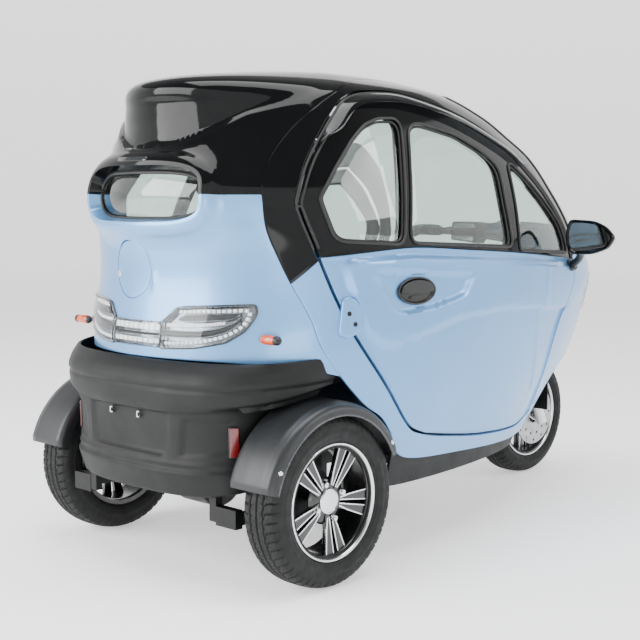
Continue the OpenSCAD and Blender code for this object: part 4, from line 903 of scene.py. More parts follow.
def makeDoorSeals():
    # Two rubber lips follow the opening over the door, and a smoked deflector shades the window's top
    line = frameBack + frameTop[1:] + frameNose[::-1][1:]
    flat = along(line, np.linspace(0.02, 1, 150))
    way = np.gradient(flat, axis=0)
    out = np.stack([-way[:, 1], way[:, 0]], -1) / np.linalg.norm(way, axis=1)[:, None]
    out[out[:, 1] < -0.2] *= -1
    for side, flip in sides:
        for k, (gap, depth, r) in enumerate(((5.5, 1.5, 4.2), (-8.0, 1.0, 3.6))):
            body = "vehicle" if k == 0 else "door_" + side
            tubePiece(f"doorSeal{k}_{side}", sunkIn(sideSkin(flat + out * gap), depth), r, "sealRubber", body,
                      False, flip)
        run = along([[-22, 1125], [30, 1211], [145, 1340], [225, 1386], [360, 1402], [490, 1396], [730, 1348],
                     [970, 1262], [1060, 1202]], np.linspace(0.16, 1, 90))
        w = np.gradient(run, axis=0)
        down = np.stack([w[:, 1], -w[:, 0]], -1) / np.linalg.norm(w, axis=1)[:, None]
        wide = 34 * smoothStep(np.minimum(np.linspace(0, 1, 90), np.linspace(1, 0, 90)) / 0.09 + 0.15)
        rows, lows = [], []
        for t in np.linspace(0, 1, 9):
            skin = sideSkin(run + down * (wide * t - 3)[:, None])
            bulge = -3 - 15 * math.sin(t * 1.9)
            rows.append(sunkIn(skin, bulge))
            lows.append(sunkIn(skin, bulge + 2.5))
        shellPiece("windDeflector_" + side, np.stack(rows)[::-1], np.stack(lows)[::-1], "smokedAcrylic",
                   "door_" + side, flip)


makeRoof()
makeTail()
makeChargeLid()
makeQuarters()
makeDoors()
makeCowl()
makeScreens()
makeDoorSeals()
print("cab panels and glass made")


def blocksPiece(name, places, half, project, outer, inner, look, body="vehicle"):
    # Small blocks in one piece, each at a place on the skin with the direction of its row
    verts, faces = [], []
    for (py, pz), way in places:
        onward = np.array(way, float) / np.hypot(*way)
        across = np.array([-onward[1], onward[0]])
        corners = [np.array([py, pz]) + a * half[0] * onward + b * half[1] * across
                   for a, b in ((-1, -1), (1, -1), (1, 1), (-1, 1))]
        skin = project(np.array(corners))
        n = len(verts)
        verts += list(sunkIn(skin, np.full(4, float(outer)))) + list(sunkIn(skin, np.full(4, float(inner))))
        faces += [[n + q for q in f] for f in ([0, 1, 2, 3], [7, 6, 5, 4], [0, 4, 5, 1], [1, 5, 6, 2], [2, 6, 7, 3],
                                               [3, 7, 4, 0])]
    made = addObject(name, verts, faces, look, body)
    tidyNormals(made)
    roundEdges(made, 1.2, 2)


def rowOf(points, count, start=0.0, end=1.0):
    # Places and directions along a line, evenly spaced by length
    line = drawn(points, 200)
    reach = np.concatenate([[0], np.cumsum(np.linalg.norm(np.diff(line, axis=0), axis=1))])
    s = np.linspace(start, end, count) * reach[-1]
    at = np.stack([np.interp(s, reach, line[:, k]) for k in range(2)], -1)
    ahead = np.stack([np.interp(s + 2, reach, line[:, k]) for k in range(2)], -1)
    back = np.stack([np.interp(s - 2, reach, line[:, k]) for k in range(2)], -1)
    return list(zip(at, ahead - back))


def makeTailLamps():
    for side, s in (("right", 1), ("left", -1)):
        def wide(points):
            return [[s * y, z] for y, z in points]

        wing = roundedOutline(wide(lampWing), 110, 2)
        mid = wing.mean(0)
        discPiece("lampTray_" + side, mid + (wing - mid) * 0.985, 12, tailSkin, 15, 19, "metallisedReflector")
        cover = discPiece("lampCover_" + side, mid + (wing - mid) * 0.99, 14, tailSkin, -9, -6, "clearCover", edge=7)
        if s == 1:
            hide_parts("rear_lamps")
        tubePiece("lampSurround_" + side, sunkIn(tailSkin(wing), -1.5), 3.8, "smokedLens", closed=True)
        tip = wide([[-160, 775], [-200, 777], [-290, 781], [-346, 783], [-350, 763], [-332, 734], [-292, 710],
                    [-222, 692], [-120, 685]])
        blocksPiece("lampOuterRow_" + side, rowOf(tip, 34, 0.01, 0.99), (4.6, 4.4), tailSkin, 0, 8, "opalDiffuser")
        middle = wide([[-122, 737], [-180, 737], [-240, 741], [-295, 749]])
        blocksPiece("lampInnerRow_" + side, rowOf(middle, 24, 0.01, 0.99), (2.6, 4.6), tailSkin, 2, 9, "opalDiffuser")
        # The dark bar between the rows, and the slot over them with its bright edge
        bar = wide([[-112, 713], [-200, 713], [-265, 720], [-312, 737], [-334, 758]])
        tubePiece("lampBar_" + side, sunkIn(tailSkin(drawn(bar, 60)), 6), 8.5, "satinAbs")
        for k, dz in enumerate((-9, 9)):
            tubePiece(f"lampBarEdge{k}_{side}", sunkIn(tailSkin(drawn(shifted(bar, 0, dz), 60)), 1),
                      1.6, "metallisedReflector")
        slot = wide([[-158, 750], [-176, 766], [-250, 772], [-334, 777], [-326, 764], [-298, 756], [-220, 750]])
        outline = roundedOutline(slot, 60, 2)
        discPiece("lampSlot_" + side, outline, 6, tailSkin, 0, 10, "satinAbs", edge=2)
        tubePiece("lampSlotEdge_" + side, sunkIn(tailSkin(outline), -0.5), 1.8, "metallisedReflector", closed=True)
        clamp = wide([[-110, 672], [-112, 708], [-110, 748]])
        tubePiece("lampClamp_" + side, sunkIn(tailSkin(drawn(clamp, 24)), -6), 4.5, "clearCover")
        makeSignal(side, -s)
    centre = roundedOutline([[-104, 670], [104, 670], [104, 745], [-104, 745]], 80, 1)
    discPiece("lampTray_middle", centre, 8, tailSkin, 15, 19, "metallisedReflector")
    for k, (low, high) in enumerate(((673, 704), (712, 744))):
        outline = roundedOutline([[-103, low], [103, low], [103, high], [-103, high]], 90, 3)
        discPiece(f"lampStrip{k}", outline, 8, tailSkin, -9, -6, "clearCover", edge=6)
        z = (low + high) / 2
        row = rowOf([[-92, z], [0, z], [92, z]], 9)
        blocksPiece(f"lampStripRow{k}", row, (8.6, 8.5 - 2 * (1 - k)), tailSkin, 0, 8, "opalDiffuser")
    third = roundedOutline([[-62, 1187], [62, 1187], [62, 1199], [-62, 1199]], 60, 1)
    discPiece("highLamp", third, 6, tailSkin, -29.5, -20, "smokedLens", edge=3)
    tubePiece("lampStripBar", sunkIn(tailSkin(drawn([[-104, 708], [0, 708], [104, 708]], 30)), 0),
              3.2, "satinAbs")


def makeSignal(side, way):
    # An amber pill on a black stalk, with a black cap on its outer end
    centre = (-144.0, 393.4 * way, 708.0)
    lens = [[0.3, 6], [9, 6], [12.5, 10], [13.8, 18], [14, 34], [13.4, 50], [12, 60], [0.3, 60]]
    made = lathePiece("signalLens_" + side, lens, "amberLens", "vehicle", centre, steps=48, way=way)
    if side == "right":
        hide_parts("turn_signals")
    ends = {"Cap": [[0.3, 59], [13, 59], [13.2, 63], [11.5, 71], [7, 76.5], [0.3, 77.5]],
            "Foot": [[0.3, -1], [7, 0], [10, 4], [12.2, 9], [12.4, 11], [0.3, 11]]}
    for end, profile in ends.items():
        lathePiece(f"signal{end}_{side}", profile, "satinAbs", "vehicle", centre, steps=48, way=way)
    root = sideSkin(np.array([-118.0, 708.0])) * (1, -way, 1)
    tubePiece("signalStalk_" + side, [root, np.array(centre) + (0, way * 5, 0)], 6, "sealRubber")
    tubePiece("signalGrommet_" + side, [root + (2, 0, 0), root + np.array([-6, 3 * way, 0])], 10,
              "sealRubber")


tyreIn = (2 * wheels["rear"][1] - 135) / 2
bumperRows = np.array([
    [255, 290, 300, tyreIn - 34], [330, 335, 325, tyreIn - 24], [340, 345, 314, tyreIn - 28],
    [400, 410, 312, tyreIn - 27], [490, 500, 316, tyreIn - 24], [500, 548, 324, tyreIn - 17], [512, 566, 330, 492],
    [570, 606, 334, 500], [610, 640, 322, 497], [645, 652, 286, 493]], float)
bumperEnd = 48


def bumperSheet(rows, s, depth=0.0):
    z0, z1, reach, half = [rows[:, k][:, None] for k in range(4)]
    a = np.radians(90 * s)[None, :]
    power = np.interp(half, [400, 480], [0.45, 0.8])
    x = bumperEnd - (reach - depth + bumperEnd) * np.abs(np.cos(a)) ** power
    y = -(half - depth) * np.sign(a) * np.abs(np.sin(a)) ** 0.75
    return np.stack([x, y, z0 + (z1 - z0) * np.abs(s)[None, :] ** 3 + 0 * x], -1)


def sheetNormals(grid):
    du, dv = np.gradient(grid, axis=1), np.gradient(grid, axis=0)
    n = np.cross(dv, du)
    n /= np.maximum(np.linalg.norm(n, axis=-1, keepdims=True), 1e-9)
    middle = grid.reshape(-1, 3).mean(0)
    return n * np.sign(np.sum(n * (grid - middle), -1, keepdims=True))


def makeBumper():
    v = np.linspace(0, 1, 84)
    stops = np.array([0, 0.16, 0.2, 0.36, 0.6, 0.66, 0.71, 0.85, 0.93, 1.0])
    rows = np.stack([np.interp(v, stops, bumperRows[:, k]) for k in range(4)], -1)
    for _ in range(3):
        rows[1:-1] = (rows[:-2] + 2 * rows[1:-1] + rows[2:]) / 4
    s = np.concatenate([-np.sin(np.radians(np.linspace(90, 0, 80))), np.sin(np.radians(np.linspace(0, 90, 80)))[1:]])
    skin = bumperSheet(rows, s)
    n = sheetNormals(skin)
    y, z = skin[..., 1], skin[..., 2]
    tail = skin[..., 0] < -150
    # The number plate's recess, the long side hollows and two soft creases
    plate = outlineDistance(y, z, [[-168, 372], [168, 372], [178, 492], [-178, 492]])
    lift = -7 * smoothStep(-plate / 9 + 0.5) * tail
    foot = outlineDistance(y, z, [[-150, 368], [150, 368], [168, 378], [-168, 378]])
    lift += 3 * smoothStep(-foot / 6 + 0.5) * tail
    hollow = outlineDistance(np.abs(y), z, [[215, 372], [330, 384], [352, 395], [352, 480], [240, 484], [228, 470]])
    lift -= 5 * smoothStep(-hollow / 12 + 0.3)
    lift += 4 * np.exp(-((z - (352 + 6 * np.abs(s)[None, :] ** 3)) / 7) ** 2)
    lift -= 4 * np.exp(-((z - (566 + 12 * np.abs(s)[None, :] ** 3)) / 6) ** 2)
    lift += 2.5 * np.exp(-((z - (588 + 8 * np.abs(s)[None, :] ** 3)) / 12) ** 2)
    dip = edgeDip(np.linspace(0, 1, len(s)), v, (1400, 420), 4)
    outer = skin + n * (lift - dip - 4)[..., None]
    inner = skin - n * 12
    made = shellPiece("bumperShell", outer, inner, "grainedMoulding")
    tidyNormals(made)
    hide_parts("rear_bumper")
    for side, way in (("right", -1), ("left", 1)):
        x = float(bumperSheet(np.array([[480, 490, 314, tyreIn - 25]]), np.array([0.06]))[0, 0, 0])
        # A folded chrome clip for the number plate: a plate with a hook at each end
        for k, (dy, dz, hy, hz) in enumerate(((4.5, 0, 1.6, 8.5), (0, 7.5, 5, 1.6), (0, -7.5, 5, 1.6))):
            boxPiece(f"plateClip{k}_{side}", (x - 3.5, way * 62.5 + dy - hy, 480 + dz - hz),
                     (x + 12, way * 62.5 + dy + hy, 480 + dz + hz), "chromePlate", "vehicle", 0.8)
        grid = []
        for dz in np.linspace(380, 462, 12):
            row = []
            for dy in np.linspace(345, 359, 6):
                half = tyreIn - 26
                a = math.asin((dy / half) ** (1 / 0.75))
                reach = 312 + max(dz - 403, 0) * 4 / 90 + bumperEnd
                row.append([bumperEnd - reach * math.cos(a) ** 0.45, way * half * math.sin(a) ** 0.75, dz])
            grid.append(row)
        grid = np.array(grid)
        n = sheetNormals(grid)
        n *= np.sign(np.sum(n * (grid - (0, 0, 430)), -1, keepdims=True))
        lens = shellPiece("reflectorLens_" + side, grid + n * 5.5, grid - n * 3, "redReflector")
        tidyNormals(lens)
        roundEdges(lens, 1.6, 3)
        ring = np.concatenate([grid[0], grid[1:, -1], grid[-1, ::-1][1:], grid[::-1, 0][1:-1]])
        tubePiece("reflectorFrame_" + side, ring, 3.4, "satinAbs", closed=True)
        if way == -1:
            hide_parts("reflectors")
    skinX = float(bumperSheet(np.array([[348, 350, 313, tyreIn - 28]]), np.array([0.0]))[0, 0, 0])
    lathePiece("bumperScrew", [[0.3, -3], [5.5, -3], [6.5, 0], [5, 2.6], [2, 3.2], [1.6, 1.5], [0.3, 1.5]],
               "powderCoat", "vehicle", (skinX + 2, 60, 330), steps=24)


guardArcs = {"rear": (24, 166), "front": (50, 155)}


def makeGuards():
    start, end = guardArcs["rear"]
    x, half, z = wheels["rear"]
    profile = [[240, -85.5], [271, -85.5], [281, -80.5], [285, -71.5], [286, -20], [285, 49.5], [279, 69.5],
               [269, 80.5], [252, 83.5], [247, 83.5], [246, 79], [251, 78], [266, 76], [274, 66], [280.5, 48],
               [281, -20], [281, -70], [278, -77], [270, -81.5], [240, -81.5]]
    fine = roundedOutline(profile, 84, 1)
    for side, way in (("right", -1), ("left", 1)):
        centre = (x, way * half, z)

        def roll(a, r, s):
            # The ends are turned in, and a shallow line sets off the outer band
            ends = np.minimum(a - math.radians(start), math.radians(end) - a)
            return (-5 * (1 - smoothStep(ends / 0.06)) - 1.4 * np.exp(-((s - 58) / 2.2) ** 2) * (r > 262)
                    + 1.2 * np.exp(-((s - 70) / 7) ** 2) * (r > 262))

        guard = lathePiece("rearGuard_" + side, fine, "satinMoulding", "vehicle", centre,
                           guardArcs["rear"], 104, roll, way)
        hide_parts("mudguard_rear_" + side)
        # The lip tube along the guard's edge is painted a lighter grey than the guard: a painted highlight
        a = np.radians(np.linspace(start + 1, end - 1, 120))
        edge = np.stack([centre[0] + 249 * np.cos(a), 0 * a + centre[1] + way * 81.5, centre[2] + 249 * np.sin(a)], -1)
        tubePiece("guardLip_" + side, edge, 3.4, "paintedHighlightMoulding")
        for k, turn in enumerate((33, 152)):
            c = (centre[0] + 262 * math.cos(math.radians(turn)), centre[1] + way * 80,
                 centre[2] + 262 * math.sin(math.radians(turn)))
            lathePiece(f"guardBolt{k}_{side}", [[0.3, -2], [7.5, -2], [7.5, 1], [5.5, 2.5], [5, 4.2], [0.3, 5]],
                       "chromePlate", "vehicle", c, steps=24, way=way)
    x, _, z = wheels["front"]
    r, w = 260, 78.7
    front = [[r - 26, -w], [r - 10, -w], [r - 3, -w + 6], [r, -w + 16], [r + 0.5, 0], [r, w - 16], [r - 3, w - 6],
             [r - 10, w], [r - 26, w], [r - 26, w - 4], [r - 12, w - 4], [r - 4, w - 17], [r - 4, -w + 17],
             [r - 12, -w + 4], [r - 26, -w + 4]]
    made = lathePiece("frontGuard", roundedOutline(front, 60, 1), "pianoLacquer", "steering", (x, 0, z),
                      guardArcs["front"], 80)
    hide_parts("mudguard_front")


tread = {"pitches": 56, "stepsEach": 8, "deep": 5.0}


def treadRelief(outside, half):
    def relief(a, r, s):
        crown = smoothStep((r - outside + 26) / 10)
        pitch = a * tread["pitches"] / (2 * math.pi)
        cut = np.zeros(np.broadcast(a, s).shape)
        # Two wavy grooves round the tyre and a straight one in the middle
        for place, wave in ((0.0, 0), (half * 0.36, 1.6), (-half * 0.36, 1.6)):
            away = np.abs(s - place - wave * np.sin(2 * math.pi * pitch))
            cut = np.maximum(cut, smoothStep((2.6 - away) / 1.3))
        # Curved lateral grooves in the shoulders, and narrow cuts between the middle ones
        bend = pitch + 0.010 * np.abs(s) + 0.35 * (s > 0)
        lane = np.abs(bend % 1 - 0.5)
        cut = np.maximum(cut, smoothStep((0.105 - lane) / 0.05) * smoothStep((np.abs(s) - half * 0.44) / 2))
        fine = np.abs((bend * 2) % 1 - 0.5)
        cut = np.maximum(cut, 0.5 * smoothStep((0.1 - fine) / 0.06) * smoothStep((half * 0.32 - np.abs(s)) / 2))
        return -tread["deep"] * cut * crown
    return relief


def tyreProfile(outside, width):
    h, seat, count = width / 2, 153, 38
    bead = h - 14
    side = [[169, h - 14], [171.5, h - 8], [174, h - 6.5], [177, h - 5.8], [178, h - 4.4], [186, h - 2],
            [192, h - 1.2], [193.5, h - 0.2], [outside - 44, h], [outside - 42.5, h - 0.9], [outside - 36, h - 1],
            [outside - 27, h - 2.2], [outside - 20, h - 4.2], [outside - 13.5, h - 8], [outside - 8, h - 13.5]]
    crown = [[outside - 0.2 - 6.6 * abs(k) ** 3.2, (h - 14.5) * k] for k in np.linspace(-1, 1, count)[::-1]]
    return [[seat, bead]] + side + crown + [[r, -s] for r, s in side[::-1]] + [[seat, -bead]]


def radialPlate(name, outlines, low, high, look, body, centre, way, bevel):
    # Flat plates in the plane of a wheel, given by radius and side offset at a bearing
    verts, faces = [], []
    for turn, outline in outlines:
        c, s = math.cos(math.radians(turn)), math.sin(math.radians(turn))
        n, base = len(outline), len(verts)
        for level in (low, high):
            for r, off in outline:
                verts.append((centre[0] + r * c - off * s, centre[1] + way * level(r), centre[2] + r * s + off * c))
        faces += [[base + k for k in range(n)], [base + n + k for k in range(n)][::-1]]
        faces += [[base + (k + 1) % n, base + k, base + n + k, base + n + (k + 1) % n] for k in range(n)]
    made = addObject(name, verts, faces, look, body, sharp=30)
    tidyNormals(made)
    roundEdges(made, bevel, 2)


wheelTurns = {"spokes": (62, 134, 206, 278, 350), "nuts": (20, 110, 200, 290), "nutCircle": 54}


def makeWheel(name, centre, outside, width, way, body, bothFaces):
    h = width / 2
    tyre = lathePiece("tyre_" + name, tyreProfile(outside, width), "tyreRubber", body, centre,
                      steps=tread["stepsEach"] * tread["pitches"], relief=treadRelief(outside, h), way=way)
    side = h - 8
    barrel = [[153, side - 12], [150, side - 18], [148.5, -side + 10], [152, -side + 2], [166, -side],
              [168, -side + 1], [168, -side + 5], [155, -side + 8], [153, 0], [155, side - 8], [166, side - 6],
              [160, side - 4]]
    rim = lathePiece("rimBarrel_" + name, roundedOutline(barrel, 56, 0), "rimLacquer", body, centre,
                     steps=96, way=way)
    faces = (1, -1) if bothFaces else (1,)
    for face in faces:
        tag = name if face == 1 else name + "Back"
        lip = [[159, side - 7], [162, side - 1.5], [163.5, side], [167, side + 0.5], [168.5, side - 1],
               [168.5, side - 4], [165, side - 4.5], [161, side - 8]]
        lathePiece("rimLip_" + tag, lip, "turnedAlloy", body, centre, steps=128, way=way * face)
        top, bow = (16, 5) if bothFaces else (side - 15, -7)

        def dish(drop):
            return lambda r: top - drop + bow * smoothStep((150 - r) / 110)

        dark, bright = [], []
        for turn in wheelTurns["spokes"]:
            for s in (-1, 1):
                dark.append((turn, [[34, s * 2.5], [152, s * 7], [152, s * 41], [78, s * 24], [34, s * 19]]))
                bright.append((turn, [[44, s * 3.6], [153, s * 7.5], [153, s * 11.5], [44, s * 7.2]]))
                bright.append((turn, [[46, s * 10], [80, s * 20.5], [153, s * 37], [153, s * 41.5], [78, s * 24.5],
                                      [44, s * 14]]))
        radialPlate("rimSpokes_" + tag, dark, dish(17), dish(1.2), "rimLacquer", body, centre, way * face, 1.6)
        radialPlate("spokeFaces_" + tag, bright, dish(6), dish(0), "turnedAlloy", body, centre, way * face, 0.7)
        hubTop = dish(0)(36)
        lathePiece("rimHub_" + tag, [[0.3, hubTop - 24], [66, hubTop - 22], [68, hubTop - 16], [60, hubTop - 7],
                                     [40, hubTop - 4], [0.3, hubTop - 4]], "rimLacquer", body, centre,
                   steps=96, way=way * face)
        cap = [[0.3, hubTop - 6], [36, hubTop - 6], [36.5, hubTop + 1], [34, hubTop + 4], [31.5, hubTop + 4.6],
               [30.5, hubTop + 3], [0.3, hubTop + 4.4]]
        lathePiece("hubCap_" + tag, cap, "turnedAlloy", body, centre, steps=96, way=way * face)
        if bothFaces:
            continue
        for k, turn in enumerate(wheelTurns["nuts"]):
            out = wheelTurns["nutCircle"]
            c = (centre[0] + out * math.cos(math.radians(turn)), centre[1],
                 centre[2] + out * math.sin(math.radians(turn)))
            nut = [[0.3, hubTop - 6], [11, hubTop - 6], [11, hubTop - 2], [9, hubTop + 1], [8.6, hubTop + 9],
                   [6, hubTop + 12], [0.3, hubTop + 13]]
            lathePiece(f"wheelNut{k}_{tag}", nut, "chromePlate", body, c, steps=36, way=way)
    return tyre, rim


def makeWheels():
    x, half, z = wheels["rear"]
    for side, way in (("right", -1), ("left", 1)):
        tyre, rim = makeWheel("rear_" + side, (x, way * half, z), 247, 135, way, "rear_wheel_" + side, False)
        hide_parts("rear_tyre_" + side)
        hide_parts("rear_rim_" + side)
    tyre, rim = makeWheel("front", wheels["front"], 236, 120, -1, "front_wheel", True)
    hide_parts("front_tyre")
    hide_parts("front_rim")


# The mirror's outline as shares of its half sizes, from its inner top corner to the outer tip
mirrorShape = roundedOutline([[-0.86, 0.97], [0.15, 0.9], [0.62, 0.6], [1.0, 0.02], [0.72, -0.62], [0.1, -0.95],
                              [-0.7, -0.98], [-0.97, -0.6], [-1.0, 0.3]], 48, 2)


def makeMirrors():
    for side, flip in sides:
        body = "door_" + side
        way = 1 if flip else -1
        at = np.array([1180.0, 618.0 * way, 962.0])

        def ovalRing(dx, w, h, dy):
            y, z = mirrorShape[:, 0] * w, mirrorShape[:, 1] * h
            return np.stack([at[0] + dx + 0 * y, at[1] + way * (y + dy), at[2] + z], -1)

        rings = [ovalRing(dx, w, h, dy) for dx, w, h, dy in (
            (-17, 84, 52, 0), (-21.5, 88, 56, 0), (-21.5, 92, 60, 0), (-16, 95, 62, 0), (-2, 93, 61, 0),
            (12, 84, 55, -1), (24, 68, 45, -3), (31, 48, 32, -5), (34.5, 24, 16, -6), (35.5, 2, 1.5, -7))]
        pts = np.stack(rings)
        k, faces = ringFaces(*pts.shape[:2])
        faces += [k[0].tolist(), k[-1][::-1].tolist()]
        case = addObject("mirrorCase_" + side, pts, faces, "pianoLacquer", body, sharp=40)
        tidyNormals(case)
        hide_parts("mirror_" + side)
        glass = np.stack([ovalRing(-18, 82 * r, 50 * r, 0) for r in (1, 0.6, 0.02)])
        back = np.stack([ovalRing(-15, 82 * r, 50 * r, 0) for r in (0.02, 1)])
        g = np.concatenate([glass, back])
        k, faces = ringFaces(*g.shape[:2])
        faces += np.stack([k[-1], np.roll(k[-1], -1), np.roll(k[0], -1), k[0]], -1).tolist()
        pane = addObject("mirrorPane_" + side, g, faces, "mirrorGlass", body)
        tidyNormals(pane)
        foot = sideSkin(np.array([1262.0, 858.0])) * (1, -way, 1)
        arm = along([foot + (0, way * 6, 0), foot + (-18, way * 50, 30), at + (18, -way * 58, -34),
                     at + (10, -way * 40, -22)], np.linspace(0, 1, 30))
        tubePiece("mirrorArm_" + side, arm, 13, "satinAbs", body)
        tubePiece("mirrorFoot_" + side, [foot + (0, way * 0.4, 0), foot + (-2, way * 14, 5)], 22, "satinAbs",
                  body)


def makeLatches():
    # The blue keeper at the door's rear edge, with two dark bolts
    outline = [[40, 712], [66, 700], [112, 722], [118, 770], [96, 812], [74, 822], [56, 812]]
    for side, flip in sides:
        body = "door_" + side
        discPiece("latchCover_" + side, roundedOutline(outline, 60, 3), 8, sideSkin, -9, 3, "pearlLacquer", body,
                  flip, edge=7)
        for k, (x, z) in enumerate(((72, 772), (88, 742))):
            discPiece(f"latchBolt{k}_{side}", ellipse(x, z, 6, 7, 15), 4, sideSkin, -11.5, -4, "powderCoat", body,
                      flip, edge=2)


makeTailLamps()
makeBumper()
makeGuards()
makeWheels()
makeMirrors()
print("lamps, bumper, guards and wheels made")


padSettings = {"voxel": 0.013, "pressure": 4.0, "steps": 20, "reach": 0.022}


def leaned(p, lean, origin):
    # A seat's points, tipped back about the sideways axis and set at its place
    return np.stack([p[..., 0] * math.cos(lean) - p[..., 2] * math.sin(lean), p[..., 1],
                     p[..., 0] * math.sin(lean) + p[..., 2] * math.cos(lean)], -1) + origin


def paddedPiece(name, low, high, lean, origin, look, node):
    # A padded block: a rounded form that is blown up as cloth
    low, high = np.array(low, float), np.array(high, float)
    mid, half = (low + high) / 2, (high - low) / 2 - 9
    b = bmesh.new()
    bmesh.ops.create_cube(b, size=2)
    bmesh.ops.subdivide_edges(b, edges=b.edges[:], cuts=15, use_grid_fill=True)
    for v in b.verts:
        c = np.array(v.co)
        eased = 1 - 0.08 * (np.abs(c[[1, 2, 0]]) ** 6 + np.abs(c[[2, 0, 1]]) ** 6) * np.abs(c) ** 2
        v.co = toRow(leaned(mid + c * eased * half, lean, origin))
    mesh = bpy.data.meshes.new(name)
    b.to_mesh(mesh)
    b.free()
    mesh.materials.append(finish[look])
    made = bpy.data.objects.new(name, mesh)
    scene.collection.objects.link(made)
    blowUp(made)
    made.data.shade_smooth()
    soften = made.modifiers.new("soften", "SUBSURF")
    soften.levels = soften.render_levels = 1
    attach(made, "vehicle")
    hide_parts(node)


def blowUp(made):
    remesh = made.modifiers.new("even", "REMESH")
    remesh.mode = "VOXEL"
    remesh.voxel_size = padSettings["voxel"]
    bakeIn(made)
    rest = np.array([v.co for v in made.data.vertices])
    cloth = made.modifiers.new("fill", "CLOTH")
    cloth.settings.use_pressure = True
    cloth.settings.uniform_pressure_force = padSettings["pressure"]
    cloth.settings.effector_weights.gravity = 0
    cloth.settings.quality = 5
    cloth.point_cache.frame_start, cloth.point_cache.frame_end = 1, padSettings["steps"]
    for step in range(1, padSettings["steps"] + 1):
        scene.frame_set(step)
    bakeIn(made)
    scene.frame_set(1)
    now = np.array([v.co for v in made.data.vertices])
    move = now - rest
    far = np.linalg.norm(move, axis=1, keepdims=True)
    now = rest + move * np.minimum(1, padSettings["reach"] / np.maximum(far, 1e-9))
    made.data.vertices.foreach_set("co", now.ravel())
    made.data.update()


def bakeIn(made):
    ready = made.evaluated_get(bpy.context.evaluated_depsgraph_get())
    mesh = bpy.data.meshes.new_from_object(ready)
    made.modifiers.clear()
    made.data = mesh


def makeSeats():
    red, black = "redLeatherette", "blackLeatherette"
    seats = (
        ("driverCushion", "front_seat_cushion", (540, -200, 508.3), (920, 200, 603), 0, (0, 0, 0), red),
        ("driverBack", "front_seat_back", (-80, -200, 0), (0, 200, 400), 12, (546, 0, 508.6), red),
        ("benchCushion", "rear_seat_cushion", (20, -360, 538.3), (400, 360, 633), 0, (0, 0, 0), black),
        ("benchBack", "rear_seat_back", (-80, -280, 0), (0, 280, 400), 10, (25, 0, 538.6), black))
    for name, node, low, high, lean, origin, look in seats:
        turn = math.radians(lean)
        paddedPiece(name, low, high, turn, np.array(origin, float), look, node)
        seamRing(name, low, high, turn, np.array(origin, float))


def seamRing(name, low, high, lean, origin):
    # Piping round the face that a person sits on or leans against
    low, high = np.array(low, float), np.array(high, float)
    thin = 2 if lean == 0 else 0
    flat = [k for k in range(3) if k != thin]
    c, h = (low + high) / 2, (high - low) / 2
    a = np.radians(np.arange(0, 360, 6))
    ring = np.zeros((len(a), 3))
    ring[:, thin] = high[thin] - 16
    for k, f in zip(flat, (np.cos(a), np.sin(a))):
        ring[:, k] = c[k] + (h[k] - 2) * np.sign(f) * np.abs(f) ** 0.3
    tubePiece(name + "Piping", leaned(ring, lean, origin), 3.2, "blackLeatherette", closed=True)


makeSeats()
print("seats made")


def makeControls():
    # Grips, levers and the instrument pod on the handlebar
    lean = math.radians(25)
    up = np.array([-math.sin(lean), 0, math.cos(lean)])
    ahead = np.array([math.cos(lean), 0, math.sin(lean)])
    root = np.array([1650.0, 0, 236.0]) + up * 800
    for side, way in (("right", -1), ("left", 1)):
        grip = [root + (0, way * y, 0) for y in np.linspace(178, 298, 40)]
        tubePiece("grip_" + side, grip, 17.5, "sealRubber", "steering")
        for k in range(9):
            y = 186 + 13 * k
            tubePiece(f"gripRing{k}_{side}", [root + (0, way * y, 0), root + (0, way * (y + 5), 0)], 19,
                      "sealRubber", "steering")
        lever = [root + (0, way * 150, 0) + ahead * 18, root + (0, way * 185, 0) + ahead * 46,
                 root + (0, way * 285, 0) + ahead * 52]
        tubePiece("lever_" + side, drawn(lever, 20), 5.5, "castAlloy", "steering")
        tubePiece("leverClamp_" + side, [root + (0, way * 138, 0), root + (0, way * 168, 0)], 19, "satinAbs",
                  "steering")
    pod = root + up * 30
    boxPiece("displayPod", pod - (22, 62, 20), pod + (24, 62, 14), "satinAbs", "steering", 9)
    boxPiece("displayScreen", pod - (25, 50, 14), pod + (-20, 50, 9), "smokedLens", "steering", 2)


makeControls()
makeLatches()


def paintNodes():
    looks = {
        "powderCoat": ("chassis_frame", "rear_axle", "rear_springs", "door_hinges"),
        "castAlloy": ("drive_motor",), "satinAbs": ("battery_pack", "handlebar", "dashboard", "seat_stand"),
        "grainedMoulding": ("floor_pan", "sills", "wheel_arch_liner"),
        "groundSteel": ("brake_disc",), "turnedAlloy": ("front_fork",)}
    for look, names in looks.items():
        for name in names:
            node = nodes[name]
            if not node.material_slots:
                node.data.materials.append(finish[look])
            for slot in node.material_slots:
                slot.link = "OBJECT"
                slot.material = finish[look]


paintNodes()


# A round white sweep for floor and wall, in metres, lit from above, behind and beside, with a low fill
sweep = {"flat": 16, "bend": 5, "top": 13}


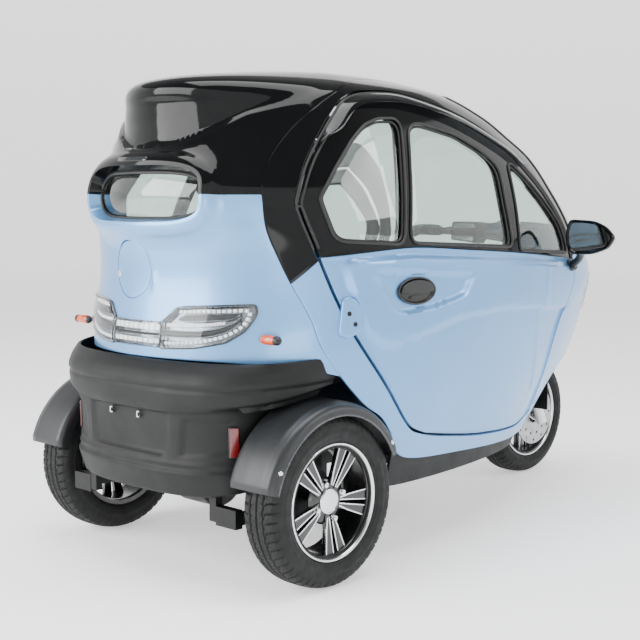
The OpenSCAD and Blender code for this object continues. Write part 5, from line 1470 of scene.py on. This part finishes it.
def makeStudio():
    paper = bpy.data.materials.new("studioPaper")
    paper.use_nodes = True
    shader = paper.node_tree.nodes["Principled BSDF"]
    shader.inputs["Roughness"].default_value = 0.8
    shader.inputs["Base Color"].default_value = linearColour("#ffffff")
    shader.inputs["Emission Color"].default_value = (1, 1, 1, 1)
    shader.inputs["Emission Strength"].default_value = 0.6
    turn = np.radians(np.linspace(0, 90, 13))
    flat, bend = sweep["flat"], sweep["bend"]
    profile = ([[0.01, 0]] + [[flat + bend * math.sin(t), bend - bend * math.cos(t)] for t in turn]
               + [[flat + bend, sweep["top"]]])
    rounds = np.radians(np.arange(0, 360, 5))
    verts = [(r * math.cos(t), r * math.sin(t), z) for r, z in profile for t in rounds]
    n = len(rounds)
    faces = [(k * n + i, k * n + (i + 1) % n, (k + 1) * n + (i + 1) % n, (k + 1) * n + i)
             for k in range(len(profile) - 1) for i in range(n)]
    mesh = bpy.data.meshes.new("studioFloor")
    mesh.from_pydata(verts, [], faces)
    mesh.materials.append(paper)
    mesh.shade_smooth()
    made = bpy.data.objects.new("studioFloor", mesh)
    scene.collection.objects.link(made)
    lights = (
        # name, place, aimed at, size, power
        ("overhead", (-0.6, -0.6, 4.6), (0, 0, 0.6), (4.2, 2.6), 230),
        ("rearSoftBox", (-5.6, 2.0, 2.6), (-0.4, 0, 0.8), (4.6, 4.0), 520),
        ("sideSoftBox", (2.6, -4.8, 3.6), (0.2, 0, 0.7), (3.0, 1.6), 110),
        ("lowFill", (-2.8, -3.4, 0.5), (0, 0, 0.5), (2.0, 0.7), 18))
    for name, place, aim, size, power in lights:
        data = bpy.data.lights.new(name, "AREA")
        data.shape = "RECTANGLE"
        data.size, data.size_y = size
        data.energy = power
        lamp = bpy.data.objects.new(name, data)
        lamp.location = place
        lamp.rotation_mode = "QUATERNION"
        lamp.rotation_quaternion = (Vector(aim) - Vector(place)).to_track_quat("-Z", "Y")
        scene.collection.objects.link(lamp)
    world = bpy.data.worlds.new("studioAir")
    world.use_nodes = True
    sky = world.node_tree.nodes["Background"]
    sky.inputs["Color"].default_value = (1, 1, 1, 1)
    sky.inputs["Strength"].default_value = 0.4
    scene.world = world


makeStudio()
print("studio lit")
